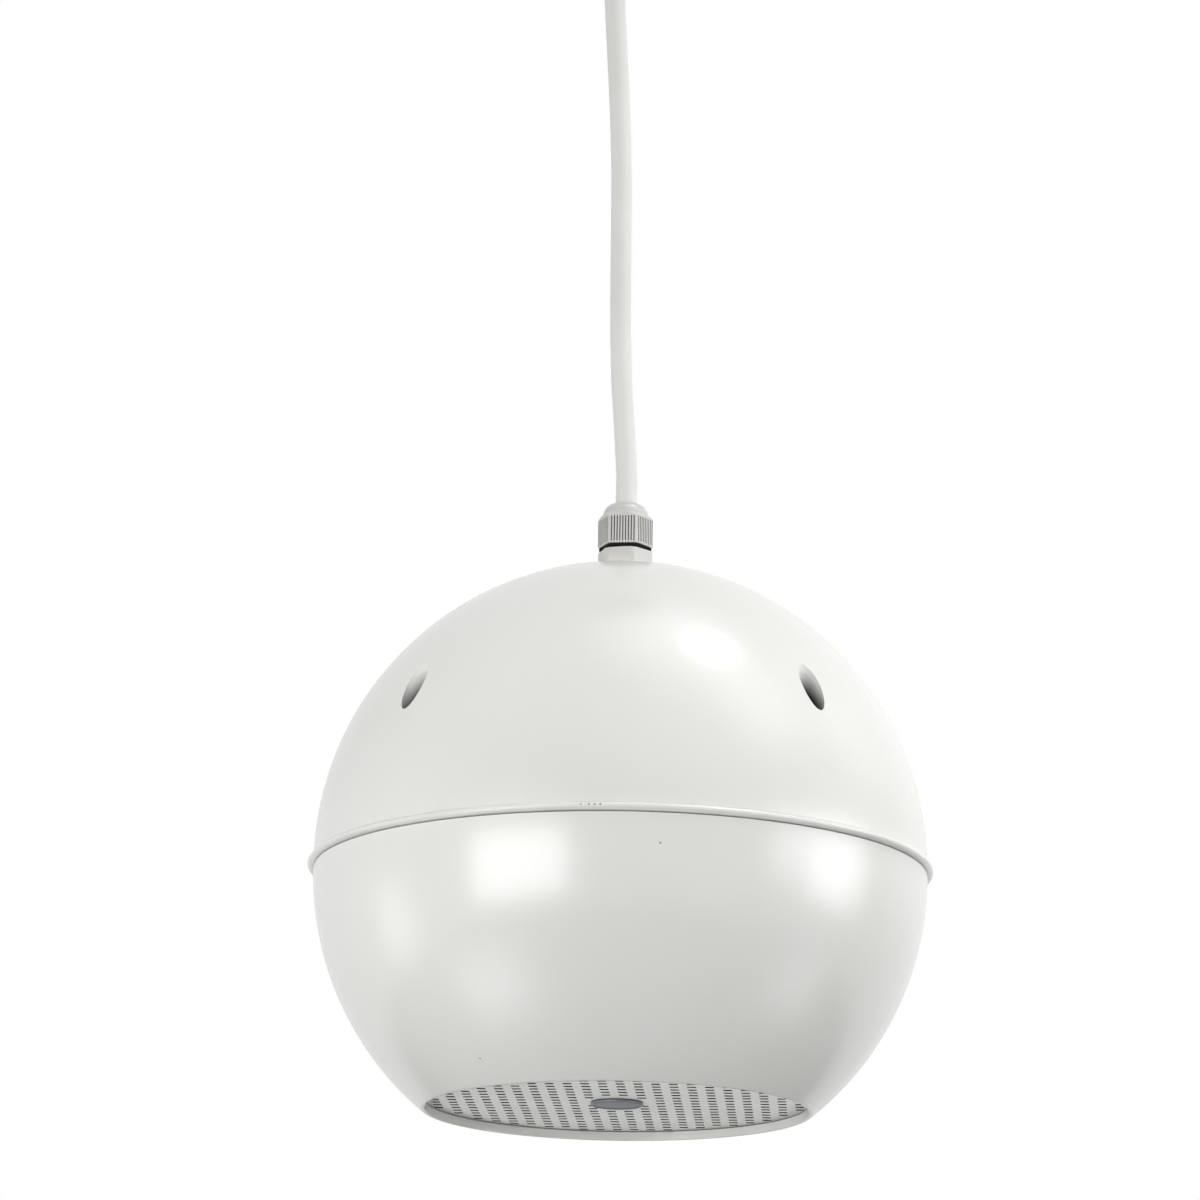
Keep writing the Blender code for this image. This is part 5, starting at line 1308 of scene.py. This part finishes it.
def soft_edges():
    """Surround and spider, the wavy cloth rings between the basket and the cone."""
    flange = SEAM_Z + FLANGE_Z
    inner = (span("cone")[0] - CONE_LIP + CONE_SKIN, flange + CONE_LIP_H + CONE_SKIN + FIT)
    soft_ring("edge_surround", "edge_cloth", "surround", inner, (EDGE_R, flange - FIT - EDGE_SKIN), 1)
    seat = flange + BASKET_SEAT_H - BASKET_SKIN - FIT - EDGE_SKIN
    inner = (FORMER_R + 1.5 * FIT, seat + SPIDER_RISE)
    soft_ring("centring_spider", "spider_cloth", "spider", inner, (SPIDER_R, seat), 2)


def camera():
    """The photograph's own camera, worked out from where it shows the ball."""
    data = bpy.data.cameras.new("camera")
    data.sensor_fit = "HORIZONTAL"
    data.sensor_width = SENSOR_MM
    data.lens = SENSOR_MM * FOCAL_PX / IMAGE_PX
    data.clip_start = 0.01
    half = IMAGE_PX / 2
    sight = Vector(((SEAM_PX[0] - half) / FOCAL_PX, -(SEAM_PX[1] - half) / FOCAL_PX, -1))
    seen = sight.normalized() * CAMERA_AWAY
    tilt = Matrix.Rotation(radians(90) + CAMERA_PITCH, 3, "X") @ Matrix.Rotation(CAMERA_ROLL, 3, "Z")
    level = tilt @ seen
    heading = atan2(-level.x, level.y)
    hold = Matrix.Rotation(VIEW_TURN - heading, 3, "Z") @ tilt
    piece = placed("camera", data)
    piece.matrix_world = Matrix.Translation(Vector((0, 0, SEAM_Z)) - hold @ seen) @ hold.to_4x4()
    bpy.context.scene.camera = piece


def softbox(name, azimuth, elevation, wide, high, edges, radiance):
    """A rectangular lamp that faces the ball; azimuth 0 is the viewer's side, 90 the right.

    Its light fades out towards its edges, over this share of each half.
    """
    data = bpy.data.lights.new(name, "AREA")
    data.shape = "RECTANGLE"
    data.size, data.size_y = wide, high
    data.energy = 4 * radiance * wide * high
    graph = Graph(data)
    place = graph.add("SeparateXYZ", {0: graph.add("NewGeometry", {})["Parametric"]})
    fades = []
    for along, edge in zip(place, edges):
        off = graph.math("ABSOLUTE", graph.math("SUBTRACT", along, 0.5))
        fades.append(graph.ranged(off, 0.5, 0.5 - edge / 2, kind="SMOOTHSTEP"))
    graph.link(graph.math("MULTIPLY", *fades), graph.tree.nodes["Emission"].inputs["Strength"])
    lamp = placed(name, data)
    turn, rise = radians(azimuth), radians(elevation)
    way = Vector((sin(turn) * cos(rise), -cos(turn) * cos(rise), sin(rise)))
    lamp.location = Vector((0, 0, SEAM_Z)) + way * LAMP_AWAY
    lamp.rotation_euler = way.to_track_quat("Z", "Y").to_euler()
    lamp.visible_camera = False


def grille_lamp():
    """A narrow spot straight below, so that the grille is as pale as it stands in the photograph."""
    data = bpy.data.lights.new("grille_lamp", "SPOT")
    data.energy = GRILLE_LAMP_POWER
    data.spot_size = 2 * atan2(GRILLE_LAMP_BEAM, GRILLE_LAMP_DROP)
    data.spot_blend = 0.15
    data.shadow_soft_size = 0.002
    lamp = placed("grille_lamp", data)
    lamp.location = (0, 0, SEAM_Z - RIM_DROP - GRILLE_LAMP_DROP)
    lamp.rotation_euler = (pi, 0, 0)
    lamp.visible_glossy = False


def world():
    """White to the camera, an even pale grey in reflections, and brighter from above and from the right."""
    made = bpy.data.worlds.new("studio")
    bpy.context.scene.world = made
    graph = Graph(made)
    way, rays = graph.add("TexCoord", {})["Generated"], graph.add("LightPath", {})
    level = graph.math("ADD", graph.vector("DOT_PRODUCT", way, WORLD_SLOPE, "Value"), WORLD_LEVEL)
    clear = graph.math("MAXIMUM", rays["Is Camera Ray"], rays["Is Transmission Ray"])
    for share, tone in ((rays["Is Glossy Ray"], WORLD_MIRRORED), (clear, 1.0)):
        level = graph.add("Mix", {"Factor": share, "A": level, "B": tone})["Result"]
    graph.link(level, graph.tree.nodes["Background"].inputs["Color"])


def floor():
    """A pale floor far below, which is darker to the ball than to the camera."""
    mesh = turned([(0, FLOOR_Z), (FLOOR_R, FLOOR_Z)], closed=False)
    pale = Look("floor_pale", FLOOR_BOUNCE, 0.9)
    pale.tone(pale.add("LightPath", {})["Is Camera Ray"], FLOOR_SEEN)
    mesh.materials.append(pale.made)
    placed("floor", mesh)


camera()
for lamp_name, lamp_values in LAMPS.items():
    softbox(lamp_name, *lamp_values)
grille_lamp()
world()
floor()
LOOKS = looks()
dress_nodes()
upper_ball()
lower_ball()
screws()
grille()
badge()
cloth()
gland()
ceiling_cup()
ceiling_bracket()
cord_grip()
cord()
basket()
magnet_system()
moving_parts()
soft_edges()
bpy.context.scene.view_settings.view_transform = "Standard"
